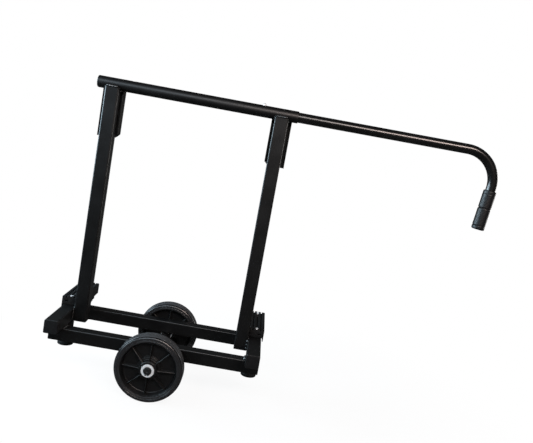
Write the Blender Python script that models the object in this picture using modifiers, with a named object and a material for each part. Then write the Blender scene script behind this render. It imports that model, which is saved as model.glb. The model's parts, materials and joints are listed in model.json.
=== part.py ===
"""Podium transport cart: a welded two-wheeled frame with a telescoping handle.

Two rails carry two cross tubes, and each cross tube carries an upright, a leg with a rubber foot and
a ribbed rubber pad for the deck to stand on. A round tube joins the uprights. The handle slides in
it and is held by a snap button. +X points to the handle, -Y to the near wheel, +Z up.

Pieces are placed from the point on the ground under the middle of the axle, and the whole cart hangs
on one empty, which puts the world origin on the ground under the middle of its length.
"""

import math

import bmesh
import bpy
from mathutils import Matrix

# Fits
SEAT_GAP = 0.0003
SLIDE_GAP = 0.0005
ROUND_SIDES = 20
SMALL_SIDES = 12
SHARP_ANGLE = math.radians(32)
FLAT_ANGLE = math.radians(0.2)

# Wheels
WHEEL_DIAMETER = 0.200
WHEEL_TRACK = 0.330
WHEEL_SIDES = 24
TYRE_WIDTH = 0.046
TYRE_GROOVE_WIDTH = 0.003
TYRE_GROOVE_DEPTH = 0.0025
TYRE_GROOVE_PITCH = 0.0095
TYRE_SHOULDER = 0.010
RIM_WIDTH = 0.040
TYRE_HEIGHT = 0.0185
RIM_SEAT_DEPTH = 0.002
RIM_FLANGE_WIDTH = 0.003
RIM_BAND = 0.0035
RIM_DRAFT = 0.003
WEB_THICKNESS = 0.005
HUB_LENGTH = 0.050
HUB_DIAMETER = 0.052
HUB_ROOT_DIAMETER = 0.070
HUB_ROOT_WIDTH = 0.018
HUB_EDGE = 0.0012
RIB_COUNT = 8
RIB_THICKNESS = 0.0035
RIB_TURN = math.radians(0)
BUSH_WALL = 0.003

# Axle
AXLE_DIAMETER = 0.020
AXLE_END = 0.0035
AXLE_CHAMFER = 0.001
AXLE_TUBE_DIAMETER = 0.032
WASHER_DIAMETER = 0.038
WASHER_THICKNESS = 0.003
RING_THICKNESS = 0.0016
RING_DEPTH = 0.0008
RING_WIDTH = 0.0026
RING_LUG_RADIUS = 0.0026
RING_LUG_ANGLE = math.radians(19)
RING_HOLE_RADIUS = 0.0009

# Base frame
TUBE_WALL = 0.002
TUBE_CORNER = 0.004
RAIL_HEIGHT = 0.040
RAIL_DEPTH = 0.035
RAIL_LENGTH = 0.620
RAIL_SPACING = 0.220
CROSS_WIDTH = 0.040
CROSS_HEIGHT = 0.040
CROSS_NEAR_Y = -0.188
CROSS_FAR_Y = 0.165
CAP_HEAD = 0.004
CAP_EDGE = 0.0012
CAP_PLUG = 0.008
CAP_PLUG_WALL = 0.0025

# Upright frame
UPRIGHT_WIDTH = 0.040
UPRIGHT_Y = -0.030
TOP_TUBE_DIAMETER = 0.035
TOP_TUBE_Z = 0.881
TOP_TUBE_LEFT_OVERHANG = 0.0238
TOP_TUBE_RIGHT_OVERHANG = 0.0273
SADDLE_DEPTH = 0.0075
TOP_PLUG_HEAD = 0.003
TOP_PLUG_LENGTH = 0.015

# Legs and feet
LEG_DIAMETER = 0.035
LEG_Y = -0.020
FOOT_DIAMETER = 0.048
FOOT_TOP_DIAMETER = 0.042
FOOT_HEIGHT = 0.030
FOOT_SOLE = 0.006
FOOT_EDGE = 0.002
FOOT_BELOW_AXLE = 0.030

# Ribbed pads
PAD_WIDTH = 0.0605
PAD_THICKNESS = 0.026
PAD_GROOVES = 4
PAD_GROOVE_PITCH = 0.0121
PAD_GROOVE_WIDTH = 0.004
PAD_GROOVE_DEPTH = 0.005
PAD_EDGE = 0.002
PAD_LIP = 0.0025
PAD_LIP_DROP = 0.010
PAD_BLOCK_DROP = 0.007
PAD_LEG = 0.0045
PAD_LEG_DROP = 0.028
PAD_CHAMBER_HEIGHT = 0.0035
PAD_CHAMBER_WIDTH = 0.011
PAD_CHAMBER_GAP = 0.022
BASE_PAD_INSET = 0.0048
BASE_PAD_NEAR_Y = -0.028
BASE_PAD_FAR_Y = 0.163
TOP_PAD_OFFSET = 0.0022
TOP_PAD_LENGTH = 0.145
TOP_PAD_CORNER = 0.012

# Pad screws
SCREW_DIAMETER = 0.006
SCREW_HEAD_DIAMETER = 0.012
SCREW_HEAD_HEIGHT = 0.0045
SCREW_CROWN_DIAMETER = 0.009
SCREW_GRIP = 0.010
SCREW_SOCKET = 0.004
SCREW_SOCKET_DEPTH = 0.0022
SCREW_INSET = 0.014

# Handle
HANDLE_DIAMETER = 0.030
HANDLE_SIDES = 16
HANDLE_WALL = 0.002
HANDLE_TAIL = 0.0305
HANDLE_STRAIGHT = 0.6455
BEND_RADIUS = 0.094
BEND_ANGLE = math.radians(95.6)
BEND_STEPS = 12
GRIP_DIAMETER = 0.0385
GRIP_LENGTH = 0.1205
GRIP_START = 0.007
GRIP_RING_AT = 0.056
GRIP_RING_WIDTH = 0.003
GRIP_RING_DEPTH = 0.001
GRIP_EDGE = 0.003
GRIP_FLOOR = 0.004

# Snap button and its spring
BUTTON_INSET = 0.0562
HANDLE_TRAVEL = 0.386
BUTTON_DIAMETER = 0.010
BUTTON_PROUD = 0.006
BUTTON_FLANGE = 0.0012
BUTTON_FLANGE_DIAMETER = 0.0125
CLIP_WIDTH = 0.010
CLIP_THICKNESS = 0.0012
CLIP_SEAT = 0.015
CLIP_LENGTH = 0.050
CLIP_BEND_RADIUS = 0.0025
CLIP_OVERHANG = 0.007

# Heights and places that follow from the sizes above
AXLE_Z = WHEEL_DIAMETER / 2
RIM_DIAMETER = WHEEL_DIAMETER - 2 * TYRE_HEIGHT
RAIL_Z = AXLE_Z + AXLE_TUBE_DIAMETER / 2 + SEAT_GAP + RAIL_HEIGHT / 2
CROSS_Z = RAIL_Z + RAIL_HEIGHT / 2 + SEAT_GAP + CROSS_HEIGHT / 2
CROSS_TOP_Z = CROSS_Z + CROSS_HEIGHT / 2
CROSS_X = RAIL_LENGTH / 2 - CROSS_WIDTH / 2
UPRIGHT_X = CROSS_X - CROSS_WIDTH / 2 - SEAT_GAP - UPRIGHT_WIDTH / 2
GROUND_CLEARANCE = AXLE_Z - FOOT_BELOW_AXLE
UPRIGHT_BOTTOM_Z = CROSS_Z - CROSS_HEIGHT / 2
UPRIGHT_TOP_Z = TOP_TUBE_Z - TOP_TUBE_DIAMETER / 2 + SADDLE_DEPTH
TOP_TUBE_LEFT_X = -UPRIGHT_X - UPRIGHT_WIDTH / 2 - TOP_TUBE_LEFT_OVERHANG
TOP_TUBE_RIGHT_X = UPRIGHT_X + UPRIGHT_WIDTH / 2 + TOP_TUBE_RIGHT_OVERHANG
BUTTON_X = UPRIGHT_X - BUTTON_INSET
HANDLE_INNER_X = BUTTON_X - HANDLE_TAIL
BEND_X = HANDLE_INNER_X + HANDLE_STRAIGHT
PAD_SEAT_Z = CROSS_TOP_Z + SEAT_GAP
TOP_PAD_SEAT_Y = UPRIGHT_Y + UPRIGHT_WIDTH / 2 + SEAT_GAP
TOP_PAD_TOP_Z = TOP_TUBE_Z - TOP_TUBE_DIAMETER / 2 + SADDLE_DEPTH - 2 * SEAT_GAP
BUSH_RADIUS = AXLE_DIAMETER / 2 + SEAT_GAP + BUSH_WALL
HANDLE_BORE = HANDLE_DIAMETER + 2 * SLIDE_GAP
HANDLE_INNER_RADIUS = HANDLE_DIAMETER / 2 - HANDLE_WALL
WASHER_BORE = AXLE_DIAMETER / 2 + SEAT_GAP
WASHER_INNER_Y = HUB_LENGTH / 2 + SEAT_GAP
RING_Y = WHEEL_TRACK / 2 + WASHER_INNER_Y + WASHER_THICKNESS + SEAT_GAP
AXLE_LENGTH = 2 * (RING_Y + RING_THICKNESS + AXLE_END)
AXLE_TUBE_LENGTH = WHEEL_TRACK - 2 * (WASHER_INNER_Y + WASHER_THICKNESS + SEAT_GAP)
TOP_PAD_X = UPRIGHT_X + TOP_PAD_OFFSET
BASE_PAD_X = CROSS_X - BASE_PAD_INSET
REACH_LEFT = max(BASE_PAD_X + PAD_WIDTH / 2, RAIL_LENGTH / 2 + CAP_HEAD)
REACH_RIGHT = BEND_X + BEND_RADIUS + GRIP_DIAMETER / 2
MIDDLE_X = (REACH_RIGHT - REACH_LEFT) / 2

# Turns that carry an object's local +Z onto a world axis
TOWARDS = {
    "+Z": (0, 0, 0),
    "-Z": (math.pi, 0, 0),
    "+X": (0, math.pi / 2, 0),
    "-X": (0, -math.pi / 2, 0),
    "+Y": (-math.pi / 2, 0, 0),
    "-Y": (math.pi / 2, 0, 0),
}

NEAR_FAR = (("near", -1), ("far", 1))
LEFT_RIGHT = (("left", -1), ("right", 1))


def clear_objects():
    """Empty the scene of the objects that a new file starts with."""
    for thing in list(bpy.data.objects):
        bpy.data.objects.remove(thing)


def new_collection(name):
    """A collection of the given name, linked to the scene."""
    group = bpy.data.collections.new(name)
    bpy.context.scene.collection.children.link(group)
    return group


def new_material(name, colour, roughness, metallic):
    """A Principled material with one colour."""
    material = bpy.data.materials.new(name)
    material.use_nodes = True
    shader = material.node_tree.nodes["Principled BSDF"]
    shader.inputs["Base Color"].default_value = (*colour, 1)
    shader.inputs["Roughness"].default_value = roughness
    shader.inputs["Metallic"].default_value = metallic
    return material


def evaluated_piece(source):
    """Turn a curve or a modified object into a plain closed mesh object of the same name."""
    bpy.context.scene.collection.objects.link(source)
    bpy.context.view_layer.update()
    graph = bpy.context.evaluated_depsgraph_get()
    mesh = bpy.data.meshes.new_from_object(source.evaluated_get(graph))
    shape = bmesh.new()
    shape.from_mesh(mesh)
    bmesh.ops.remove_doubles(shape, verts=shape.verts, dist=0.000005)
    bmesh.ops.dissolve_limit(shape, angle_limit=FLAT_ANGLE, verts=shape.verts, edges=shape.edges)
    bmesh.ops.recalc_face_normals(shape, faces=shape.faces)
    shape.to_mesh(mesh)
    shape.free()
    mesh.shade_smooth()
    mesh.set_sharp_from_angle(angle=SHARP_ANGLE)
    name = source.name
    bpy.data.objects.remove(source)
    mesh.name = name
    return bpy.data.objects.new(name, mesh)


def circle(radius, sides, centre=(0, 0)):
    """Points of a circle, anticlockwise."""
    turns = [2 * math.pi * side / sides for side in range(sides)]
    return [(centre[0] + radius * math.cos(turn), centre[1] + radius * math.sin(turn)) for turn in turns]


def arc(centre, radius, first, last, steps):
    """Points of an arc from the first angle to the last, in degrees, both ends included."""
    angles = [math.radians(first + (last - first) * step / steps) for step in range(steps + 1)]
    return [(centre[0] + radius * math.cos(angle), centre[1] + radius * math.sin(angle)) for angle in angles]


def rounded_rectangle(width, height, radius, steps=4):
    """Points of a rectangle with round corners, anticlockwise about the origin."""
    points = []
    for corner, (side_x, side_y) in enumerate(((1, 1), (-1, 1), (-1, -1), (1, -1))):
        centre = (side_x * (width / 2 - radius), side_y * (height / 2 - radius))
        points += arc(centre, radius, 90 * corner, 90 * corner + 90, steps)
    return points


def extruded(name, outlines, length):
    """The first outline, less the others as holes, extruded along local Z about the origin."""
    curve = bpy.data.curves.new(name, "CURVE")
    curve.dimensions = "2D"
    curve.fill_mode = "BOTH"
    curve.extrude = length / 2
    for outline in outlines:
        spline = curve.splines.new("POLY")
        spline.points.add(len(outline) - 1)
        for point, (x, y) in zip(spline.points, outline):
            point.co = (x, y, 0, 1)
        spline.use_cyclic_u = True
    return evaluated_piece(bpy.data.objects.new(name, curve))


def turned(name, profile, sides, ring=False):
    """A profile of (radius, height) points turned about local Z, listed down its outer side.

    A ring's profile closes on itself away from the axis. Any other starts and ends on the axis.
    """
    mesh = bpy.data.meshes.new(name)
    edges = [(index, index + 1) for index in range(len(profile) - 1)]
    if ring:
        edges.append((len(profile) - 1, 0))
    mesh.from_pydata([(radius, 0, height) for radius, height in profile], edges, [])
    piece = bpy.data.objects.new(name, mesh)
    screw = piece.modifiers.new("turn", "SCREW")
    screw.steps = sides
    screw.render_steps = sides
    screw.use_merge_vertices = True
    screw.merge_threshold = 0.00001
    return evaluated_piece(piece)


def swept(name, path, radius, sides, capped=True):
    """A round bar, or an open skin, along a path of points."""
    curve = bpy.data.curves.new(name, "CURVE")
    curve.dimensions = "3D"
    curve.bevel_depth = radius
    curve.bevel_resolution = sides // 2 - 2
    curve.use_fill_caps = capped
    spline = curve.splines.new("POLY")
    spline.points.add(len(path) - 1)
    for point, place in zip(spline.points, path):
        point.co = (*place, 1)
    return evaluated_piece(bpy.data.objects.new(name, curve))


def block(name, size):
    """A box of the given size about the origin."""
    mesh = bpy.data.meshes.new(name)
    shape = bmesh.new()
    bmesh.ops.create_cube(shape, size=1)
    bmesh.ops.scale(shape, vec=size, verts=shape.verts)
    shape.to_mesh(mesh)
    shape.free()
    return bpy.data.objects.new(name, mesh)


def empty(name, parent, location):
    """An empty that carries pieces, for instance one on a joint's axis."""
    holder = bpy.data.objects.new(name, None)
    holder.parent = parent
    holder.location = location
    PARTS.objects.link(holder)
    return holder


def place(piece, parent, location, towards="+Z", material=None):
    """Put a finished piece in the cart, with its local Z towards the given axis."""
    piece.parent = parent
    piece.location = location
    piece.rotation_euler = TOWARDS[towards]
    if material:
        piece.data.materials.append(material)
    PARTS.objects.link(piece)
    return piece


def shape_with(piece, tool, operation, location, towards="+Z", turn=None):
    """Cut a piece with a tool, or join the tool to it, by a Boolean in the piece's parent's space."""
    tool.parent = piece.parent
    tool.location = location
    tool.rotation_euler = turn or TOWARDS[towards]
    tool.hide_render = True
    tool.display_type = "WIRE"
    CUTTERS.objects.link(tool)
    boolean = piece.modifiers.new(tool.name, "BOOLEAN")
    boolean.operation = operation
    boolean.object = tool


def soften(piece, width, segments, angle):
    """Round the edges that are sharper than the angle."""
    bevel = piece.modifiers.new("edges", "BEVEL")
    bevel.width = width
    bevel.segments = segments
    bevel.limit_method = "ANGLE"
    bevel.angle_limit = angle


def box_tube(name, width, height, length):
    """A square-section tube along local Z, open at both ends."""
    outer = rounded_rectangle(width, height, TUBE_CORNER)
    inner = rounded_rectangle(width - 2 * TUBE_WALL, height - 2 * TUBE_WALL, TUBE_CORNER - TUBE_WALL, 2)
    return extruded(name, [outer, inner], length)


def round_tube(name, outer_radius, inner_radius, length, sides):
    """A round tube along local Z, open at both ends."""
    return extruded(name, [circle(outer_radius, sides), circle(inner_radius, sides)], length)


def tube_cap(name, width, height, parent, location, towards):
    """A moulded end cap: a head the size of the tube, and a hollow plug inside the tube's walls.

    The location is the middle of the tube's cut end, and the cap's head points outwards.
    """
    corner = TUBE_CORNER
    head = extruded(name, [rounded_rectangle(width, height, corner, 2)], CAP_HEAD - SEAT_GAP)
    sign = 1 if towards[0] == "+" else -1
    axis = {"X": 0, "Y": 1, "Z": 2}[towards[1]]
    middle = list(location)
    middle[axis] += sign * (CAP_HEAD + SEAT_GAP) / 2
    place(head, parent, middle, towards, BLACK_PLASTIC)
    soften(head, CAP_EDGE, 1, math.radians(60))
    inset = TUBE_WALL + SEAT_GAP
    plug_corner = max(TUBE_CORNER - inset, 0.0008)
    outer = rounded_rectangle(width - 2 * inset, height - 2 * inset, plug_corner, 1)
    wall = inset + CAP_PLUG_WALL
    inner = rounded_rectangle(width - 2 * wall, height - 2 * wall, plug_corner / 2, 1)
    plug = extruded(f"{name}_plug", [outer, inner], CAP_PLUG + CAP_HEAD / 2)
    plug_middle = list(location)
    plug_middle[axis] += sign * (CAP_HEAD / 2 - CAP_PLUG) / 2
    shape_with(head, plug, "UNION", plug_middle, towards)
    return head


def rails():
    """Two box tubes along the cart, with a cap in each end."""
    for side, sign in NEAR_FAR:
        y = sign * RAIL_SPACING / 2
        rail = box_tube(f"rail_{side}", RAIL_HEIGHT, RAIL_DEPTH, RAIL_LENGTH)
        place(rail, CART, (0, y, RAIL_Z), "+X", BLACK_STEEL)
        for end, way in LEFT_RIGHT:
            towards = "+X" if way > 0 else "-X"
            at = (way * RAIL_LENGTH / 2, y, RAIL_Z)
            tube_cap(f"rail_cap_{side}_{end}", RAIL_HEIGHT, RAIL_DEPTH, CART, at, towards)


def cross_tubes():
    """Two box tubes across the rails, with caps, and with holes for the pads' screws."""
    near_end = CROSS_NEAR_Y + CAP_HEAD
    far_end = CROSS_FAR_Y - CAP_HEAD
    for side, sign in LEFT_RIGHT:
        x = sign * CROSS_X
        tube = box_tube(f"cross_tube_{side}", CROSS_WIDTH, CROSS_HEIGHT, far_end - near_end)
        place(tube, CART, (x, (near_end + far_end) / 2, CROSS_Z), "+Y", BLACK_STEEL)
        screw_x = sign * (BASE_PAD_X + PAD_GROOVE_PITCH / 2)
        for y in base_screw_places():
            hole = turned_pin(f"cross_tube_{side}_hole", SCREW_DIAMETER / 2 + SEAT_GAP, 4 * TUBE_WALL)
            shape_with(tube, hole, "DIFFERENCE", (screw_x, y, CROSS_TOP_Z))
        tube_cap(f"cross_cap_{side}_near", CROSS_WIDTH, CROSS_HEIGHT, CART, (x, near_end, CROSS_Z), "-Y")
        tube_cap(f"cross_cap_{side}_far", CROSS_WIDTH, CROSS_HEIGHT, CART, (x, far_end, CROSS_Z), "+Y")


def turned_pin(name, radius, length, sides=SMALL_SIDES):
    """A plain round cutter along local Z about the origin."""
    return extruded(name, [circle(radius, sides)], length)


def base_screw_places():
    """Where the base pads' screws stand along Y."""
    return (BASE_PAD_NEAR_Y + SCREW_INSET, BASE_PAD_FAR_Y - SCREW_INSET)


def top_screw_places():
    """Where the top pads' screws stand along Z, the upper one first."""
    return (TOP_PAD_TOP_Z - 2 * SCREW_INSET, TOP_PAD_TOP_Z - TOP_PAD_LENGTH + 2 * SCREW_INSET)


def uprights():
    """Two box tubes, each coped at its top to the round tube that it carries."""
    height = UPRIGHT_TOP_Z - UPRIGHT_BOTTOM_Z
    middle_z = (UPRIGHT_TOP_Z + UPRIGHT_BOTTOM_Z) / 2
    for side, sign in LEFT_RIGHT:
        x = sign * UPRIGHT_X
        upright = box_tube(f"upright_{side}", UPRIGHT_WIDTH, UPRIGHT_WIDTH, height)
        place(upright, CART, (x, UPRIGHT_Y, middle_z), "+Z", BLACK_STEEL)
        cope_radius = TOP_TUBE_DIAMETER / 2 + SEAT_GAP
        cope = turned_pin(f"upright_{side}_cope", cope_radius, 2 * UPRIGHT_WIDTH, ROUND_SIDES)
        shape_with(upright, cope, "DIFFERENCE", (x, UPRIGHT_Y, TOP_TUBE_Z), "+X")
        for z in top_screw_places():
            hole = turned_pin(f"upright_{side}_hole", SCREW_DIAMETER / 2 + SEAT_GAP, 4 * TUBE_WALL)
            hole_x = sign * (TOP_PAD_X - PAD_GROOVE_PITCH / 2)
            shape_with(upright, hole, "DIFFERENCE", (hole_x, UPRIGHT_Y + UPRIGHT_WIDTH / 2, z), "+Y")


def top_tube():
    """The round tube over the uprights: two button holes on top, and a plug in its closed end."""
    length = TOP_TUBE_RIGHT_X - TOP_TUBE_LEFT_X
    tube = round_tube("top_tube", TOP_TUBE_DIAMETER / 2, HANDLE_BORE / 2, length, ROUND_SIDES)
    middle_x = (TOP_TUBE_RIGHT_X + TOP_TUBE_LEFT_X) / 2
    place(tube, CART, (middle_x, UPRIGHT_Y, TOP_TUBE_Z), "+X", BLACK_STEEL)
    for x in (BUTTON_X, BUTTON_X - HANDLE_TRAVEL):
        hole = turned_pin("top_tube_hole", BUTTON_DIAMETER / 2 + SEAT_GAP, TOP_TUBE_DIAMETER / 2)
        shape_with(tube, hole, "DIFFERENCE", (x, UPRIGHT_Y, TOP_TUBE_Z + TOP_TUBE_DIAMETER / 2))
    radius = TOP_TUBE_DIAMETER / 2
    neck = HANDLE_BORE / 2 - SEAT_GAP
    profile = [
        (0, TOP_PLUG_HEAD),
        (radius - TOP_PLUG_HEAD / 2, TOP_PLUG_HEAD),
        (radius, TOP_PLUG_HEAD / 2),
        (radius, SEAT_GAP),
        (neck, SEAT_GAP),
        (neck, -TOP_PLUG_LENGTH + CAP_EDGE),
        (neck - CAP_EDGE, -TOP_PLUG_LENGTH),
        (neck - CAP_PLUG_WALL, -TOP_PLUG_LENGTH),
        (neck - CAP_PLUG_WALL, -CAP_PLUG_WALL),
        (0, -CAP_PLUG_WALL),
    ]
    plug = turned("top_tube_plug", profile, ROUND_SIDES)
    place(plug, CART, (TOP_TUBE_LEFT_X, UPRIGHT_Y, TOP_TUBE_Z), "-X", BLACK_PLASTIC)


def legs():
    """A round leg under each cross tube, standing in a rubber foot."""
    top_z = CROSS_Z - CROSS_HEIGHT / 2 - SEAT_GAP
    bottom_z = GROUND_CLEARANCE + FOOT_SOLE + SEAT_GAP
    radius = LEG_DIAMETER / 2
    bore = radius + SEAT_GAP
    foot_radius = FOOT_DIAMETER / 2
    profile = [
        (0, FOOT_SOLE),
        (bore, FOOT_SOLE),
        (bore, FOOT_HEIGHT),
        (FOOT_TOP_DIAMETER / 2 - FOOT_EDGE / 2, FOOT_HEIGHT),
        (FOOT_TOP_DIAMETER / 2, FOOT_HEIGHT - FOOT_EDGE / 2),
        (foot_radius, FOOT_SOLE),
        (foot_radius, FOOT_EDGE),
        (foot_radius - FOOT_EDGE, 0),
        (0, 0),
    ]
    for side, sign in LEFT_RIGHT:
        x = sign * CROSS_X
        leg = round_tube(f"leg_{side}", radius, radius - TUBE_WALL, top_z - bottom_z, ROUND_SIDES)
        place(leg, CART, (x, LEG_Y, (top_z + bottom_z) / 2), "+Z", BLACK_STEEL)
        foot = turned(f"foot_{side}", profile, ROUND_SIDES)
        place(foot, CART, (x, LEG_Y, GROUND_CLEARANCE), "+Z", BLACK_RUBBER)


def pad_top(half_width):
    """The ribbed top of a pad's section, from its right side to its left."""
    points = [(half_width, PAD_THICKNESS - PAD_EDGE), (half_width - PAD_EDGE, PAD_THICKNESS)]
    floor = PAD_THICKNESS - PAD_GROOVE_DEPTH
    for index in reversed(range(PAD_GROOVES)):
        middle = (index - (PAD_GROOVES - 1) / 2) * PAD_GROOVE_PITCH
        right = middle + PAD_GROOVE_WIDTH / 2
        left = middle - PAD_GROOVE_WIDTH / 2
        points += [(right, PAD_THICKNESS), (right, floor), (left, floor), (left, PAD_THICKNESS)]
    points += [(PAD_EDGE - half_width, PAD_THICKNESS), (-half_width, PAD_THICKNESS - PAD_EDGE)]
    return points


def pad_section(leg_at=None):
    """A pad's section: ribs on top, a flat seat, and a lip down each side.

    A pad that overhangs its tube has a block in place of the left lip, and leg_at is where a leg
    hangs from the block against the tube's inner face.
    """
    half = PAD_WIDTH / 2
    points = pad_top(half)
    if leg_at is None:
        points += [(-half, -PAD_LIP_DROP), (PAD_LIP - half, -PAD_LIP_DROP), (PAD_LIP - half, 0)]
    else:
        points += [(-half, -PAD_BLOCK_DROP), (leg_at - PAD_LEG, -PAD_BLOCK_DROP)]
        points += [(leg_at - PAD_LEG, -PAD_LEG_DROP), (leg_at, -PAD_LEG_DROP), (leg_at, 0)]
    points += [(half - PAD_LIP, 0), (half - PAD_LIP, -PAD_LIP_DROP), (half, -PAD_LIP_DROP)]
    return points


def cut_chambers(pad, location, length, along):
    """Cut the two slots that run through a pad, side by side under its ribs.

    The location is the middle of the pad's seat, and the pad runs along Y or along Z.
    """
    x, y, z = location
    rise = (PAD_THICKNESS - PAD_GROOVE_DEPTH) / 2
    for side in (-1, 1):
        slot_x = x + side * (PAD_CHAMBER_GAP + PAD_CHAMBER_WIDTH) / 2
        if along == "Y":
            size = (PAD_CHAMBER_WIDTH, 2 * length, PAD_CHAMBER_HEIGHT)
            at = (slot_x, y, z + rise)
        else:
            size = (PAD_CHAMBER_WIDTH, PAD_CHAMBER_HEIGHT, 2 * length)
            at = (slot_x, y + rise, z)
        shape_with(pad, block(f"{pad.name}_chamber", size), "DIFFERENCE", at)


def screw_seat(pad, name, location, towards):
    """Cut a pad for a screw: a through hole, and a seat down to the grooves' floor for its head."""
    hole = turned_pin(f"{name}_hole", SCREW_DIAMETER / 2 + SEAT_GAP, 4 * PAD_THICKNESS)
    shape_with(pad, hole, "DIFFERENCE", location, towards)
    depth = 2 * (PAD_GROOVE_DEPTH + SEAT_GAP)
    seat = turned_pin(f"{name}_seat", SCREW_HEAD_DIAMETER / 2 + 2 * SEAT_GAP, depth)
    place_at = list(location)
    axis = {"X": 0, "Y": 1, "Z": 2}[towards[1]]
    place_at[axis] += PAD_THICKNESS
    shape_with(pad, seat, "DIFFERENCE", place_at, towards)


def pad_screw(name, location, towards):
    """A socket screw. The location is on the tube's face under the pad."""
    head = SCREW_HEAD_DIAMETER / 2
    shank = SCREW_DIAMETER / 2
    under = PAD_THICKNESS - PAD_GROOVE_DEPTH + SEAT_GAP
    top = under + SCREW_HEAD_HEIGHT
    socket = SCREW_SOCKET / 2
    profile = [
        (0, top - SCREW_SOCKET_DEPTH),
        (socket, top - SCREW_SOCKET_DEPTH),
        (socket, top),
        (SCREW_CROWN_DIAMETER / 2, top),
        (head, under + SCREW_HEAD_HEIGHT / 2),
        (head, under),
        (shank, under),
        (shank, -SCREW_GRIP),
        (0, -SCREW_GRIP),
    ]
    screw = turned(name, profile, SMALL_SIDES)
    place(screw, CART, location, towards, ZINC)


def base_pads():
    """A ribbed rubber pad along each cross tube, notched round the upright that stands beside it."""
    length = BASE_PAD_FAR_Y - BASE_PAD_NEAR_Y
    middle_y = (BASE_PAD_FAR_Y + BASE_PAD_NEAR_Y) / 2
    inner_face = BASE_PAD_X - (CROSS_X - CROSS_WIDTH / 2) + SEAT_GAP
    section = pad_section(-inner_face)
    for side, sign in LEFT_RIGHT:
        pad = extruded(f"base_pad_{side}", [[(sign * x, y) for x, y in section]], length)
        seat_middle = (sign * BASE_PAD_X, middle_y, PAD_SEAT_Z)
        place(pad, CART, seat_middle, "-Y", BLACK_RUBBER)
        cut_chambers(pad, seat_middle, length, "Y")
        upright_far_y = UPRIGHT_Y + UPRIGHT_WIDTH / 2 + SLIDE_GAP
        notch_size = (PAD_WIDTH, 2 * (upright_far_y - BASE_PAD_NEAR_Y), 4 * PAD_THICKNESS)
        notch = block(f"base_pad_{side}_notch", notch_size)
        notch_x = CROSS_X - CROSS_WIDTH / 2 + SEAT_GAP - PAD_WIDTH / 2
        shape_with(pad, notch, "DIFFERENCE", (sign * notch_x, BASE_PAD_NEAR_Y, PAD_SEAT_Z))
        for end, y in zip(("near", "far"), base_screw_places()):
            at = (sign * (BASE_PAD_X + PAD_GROOVE_PITCH / 2), y, PAD_SEAT_Z)
            screw_seat(pad, f"base_pad_{side}_{end}", at, "+Z")
            pad_screw(f"base_screw_{side}_{end}", at, "+Z")


def top_pads():
    """A ribbed rubber pad down the far face of each upright, with its lower inner corner cut off."""
    middle_z = TOP_PAD_TOP_Z - TOP_PAD_LENGTH / 2
    section = pad_section()
    for side, sign in LEFT_RIGHT:
        pad = extruded(f"top_pad_{side}", [section], TOP_PAD_LENGTH)
        x = sign * TOP_PAD_X
        seat_middle = (x, TOP_PAD_SEAT_Y, middle_z)
        place(pad, CART, seat_middle, "+Z", BLACK_RUBBER)
        cut_chambers(pad, seat_middle, TOP_PAD_LENGTH, "Z")
        corner_size = TOP_PAD_CORNER * math.sqrt(2)
        corner = block(f"top_pad_{side}_corner", (corner_size, 4 * PAD_THICKNESS, corner_size))
        corner_at = (x - sign * PAD_WIDTH / 2, TOP_PAD_SEAT_Y, TOP_PAD_TOP_Z - TOP_PAD_LENGTH)
        shape_with(pad, corner, "DIFFERENCE", corner_at, turn=(0, math.pi / 4, 0))
        cope_radius = TOP_TUBE_DIAMETER / 2 + SLIDE_GAP
        cope = turned_pin(f"top_pad_{side}_cope", cope_radius, 2 * PAD_WIDTH, ROUND_SIDES)
        shape_with(pad, cope, "DIFFERENCE", (x, UPRIGHT_Y, TOP_TUBE_Z), "+X")
        for end, z in zip(("upper", "lower"), top_screw_places()):
            at = (x - sign * PAD_GROOVE_PITCH / 2, TOP_PAD_SEAT_Y, z)
            screw_seat(pad, f"top_pad_{side}_{end}", at, "+Y")
            pad_screw(f"top_screw_{side}_{end}", at, "+Y")


def retaining_ring(name):
    """An open spring ring with two eyed lugs at its gap, which points down local -Y."""
    inner = AXLE_DIAMETER / 2 - RING_DEPTH + SEAT_GAP
    outer = inner + RING_WIDTH
    lug = RING_LUG_RADIUS
    lug_at = outer
    gap = math.degrees(RING_LUG_ANGLE)
    reach = math.degrees(math.asin(lug / lug_at))
    outline = arc((0, 0), outer, -90 + gap + reach, 270 - gap - reach, 16)
    eyes = []
    for way in (-1, 1):
        angle = math.radians(-90 + way * gap)
        eyes.append((lug_at * math.cos(angle), lug_at * math.sin(angle)))
    outline += arc(eyes[0], lug, 270 - gap - 90, 270 - gap + 90, 6)
    outline += arc((0, 0), inner, 270 - gap + reach, -90 + gap - reach, 16)
    outline += arc(eyes[1], lug, -90 + gap - 90, -90 + gap + 90, 6)
    holes = [circle(RING_HOLE_RADIUS, 8, eye) for eye in eyes]
    return extruded(name, [outline, *holes], RING_THICKNESS)


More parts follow.
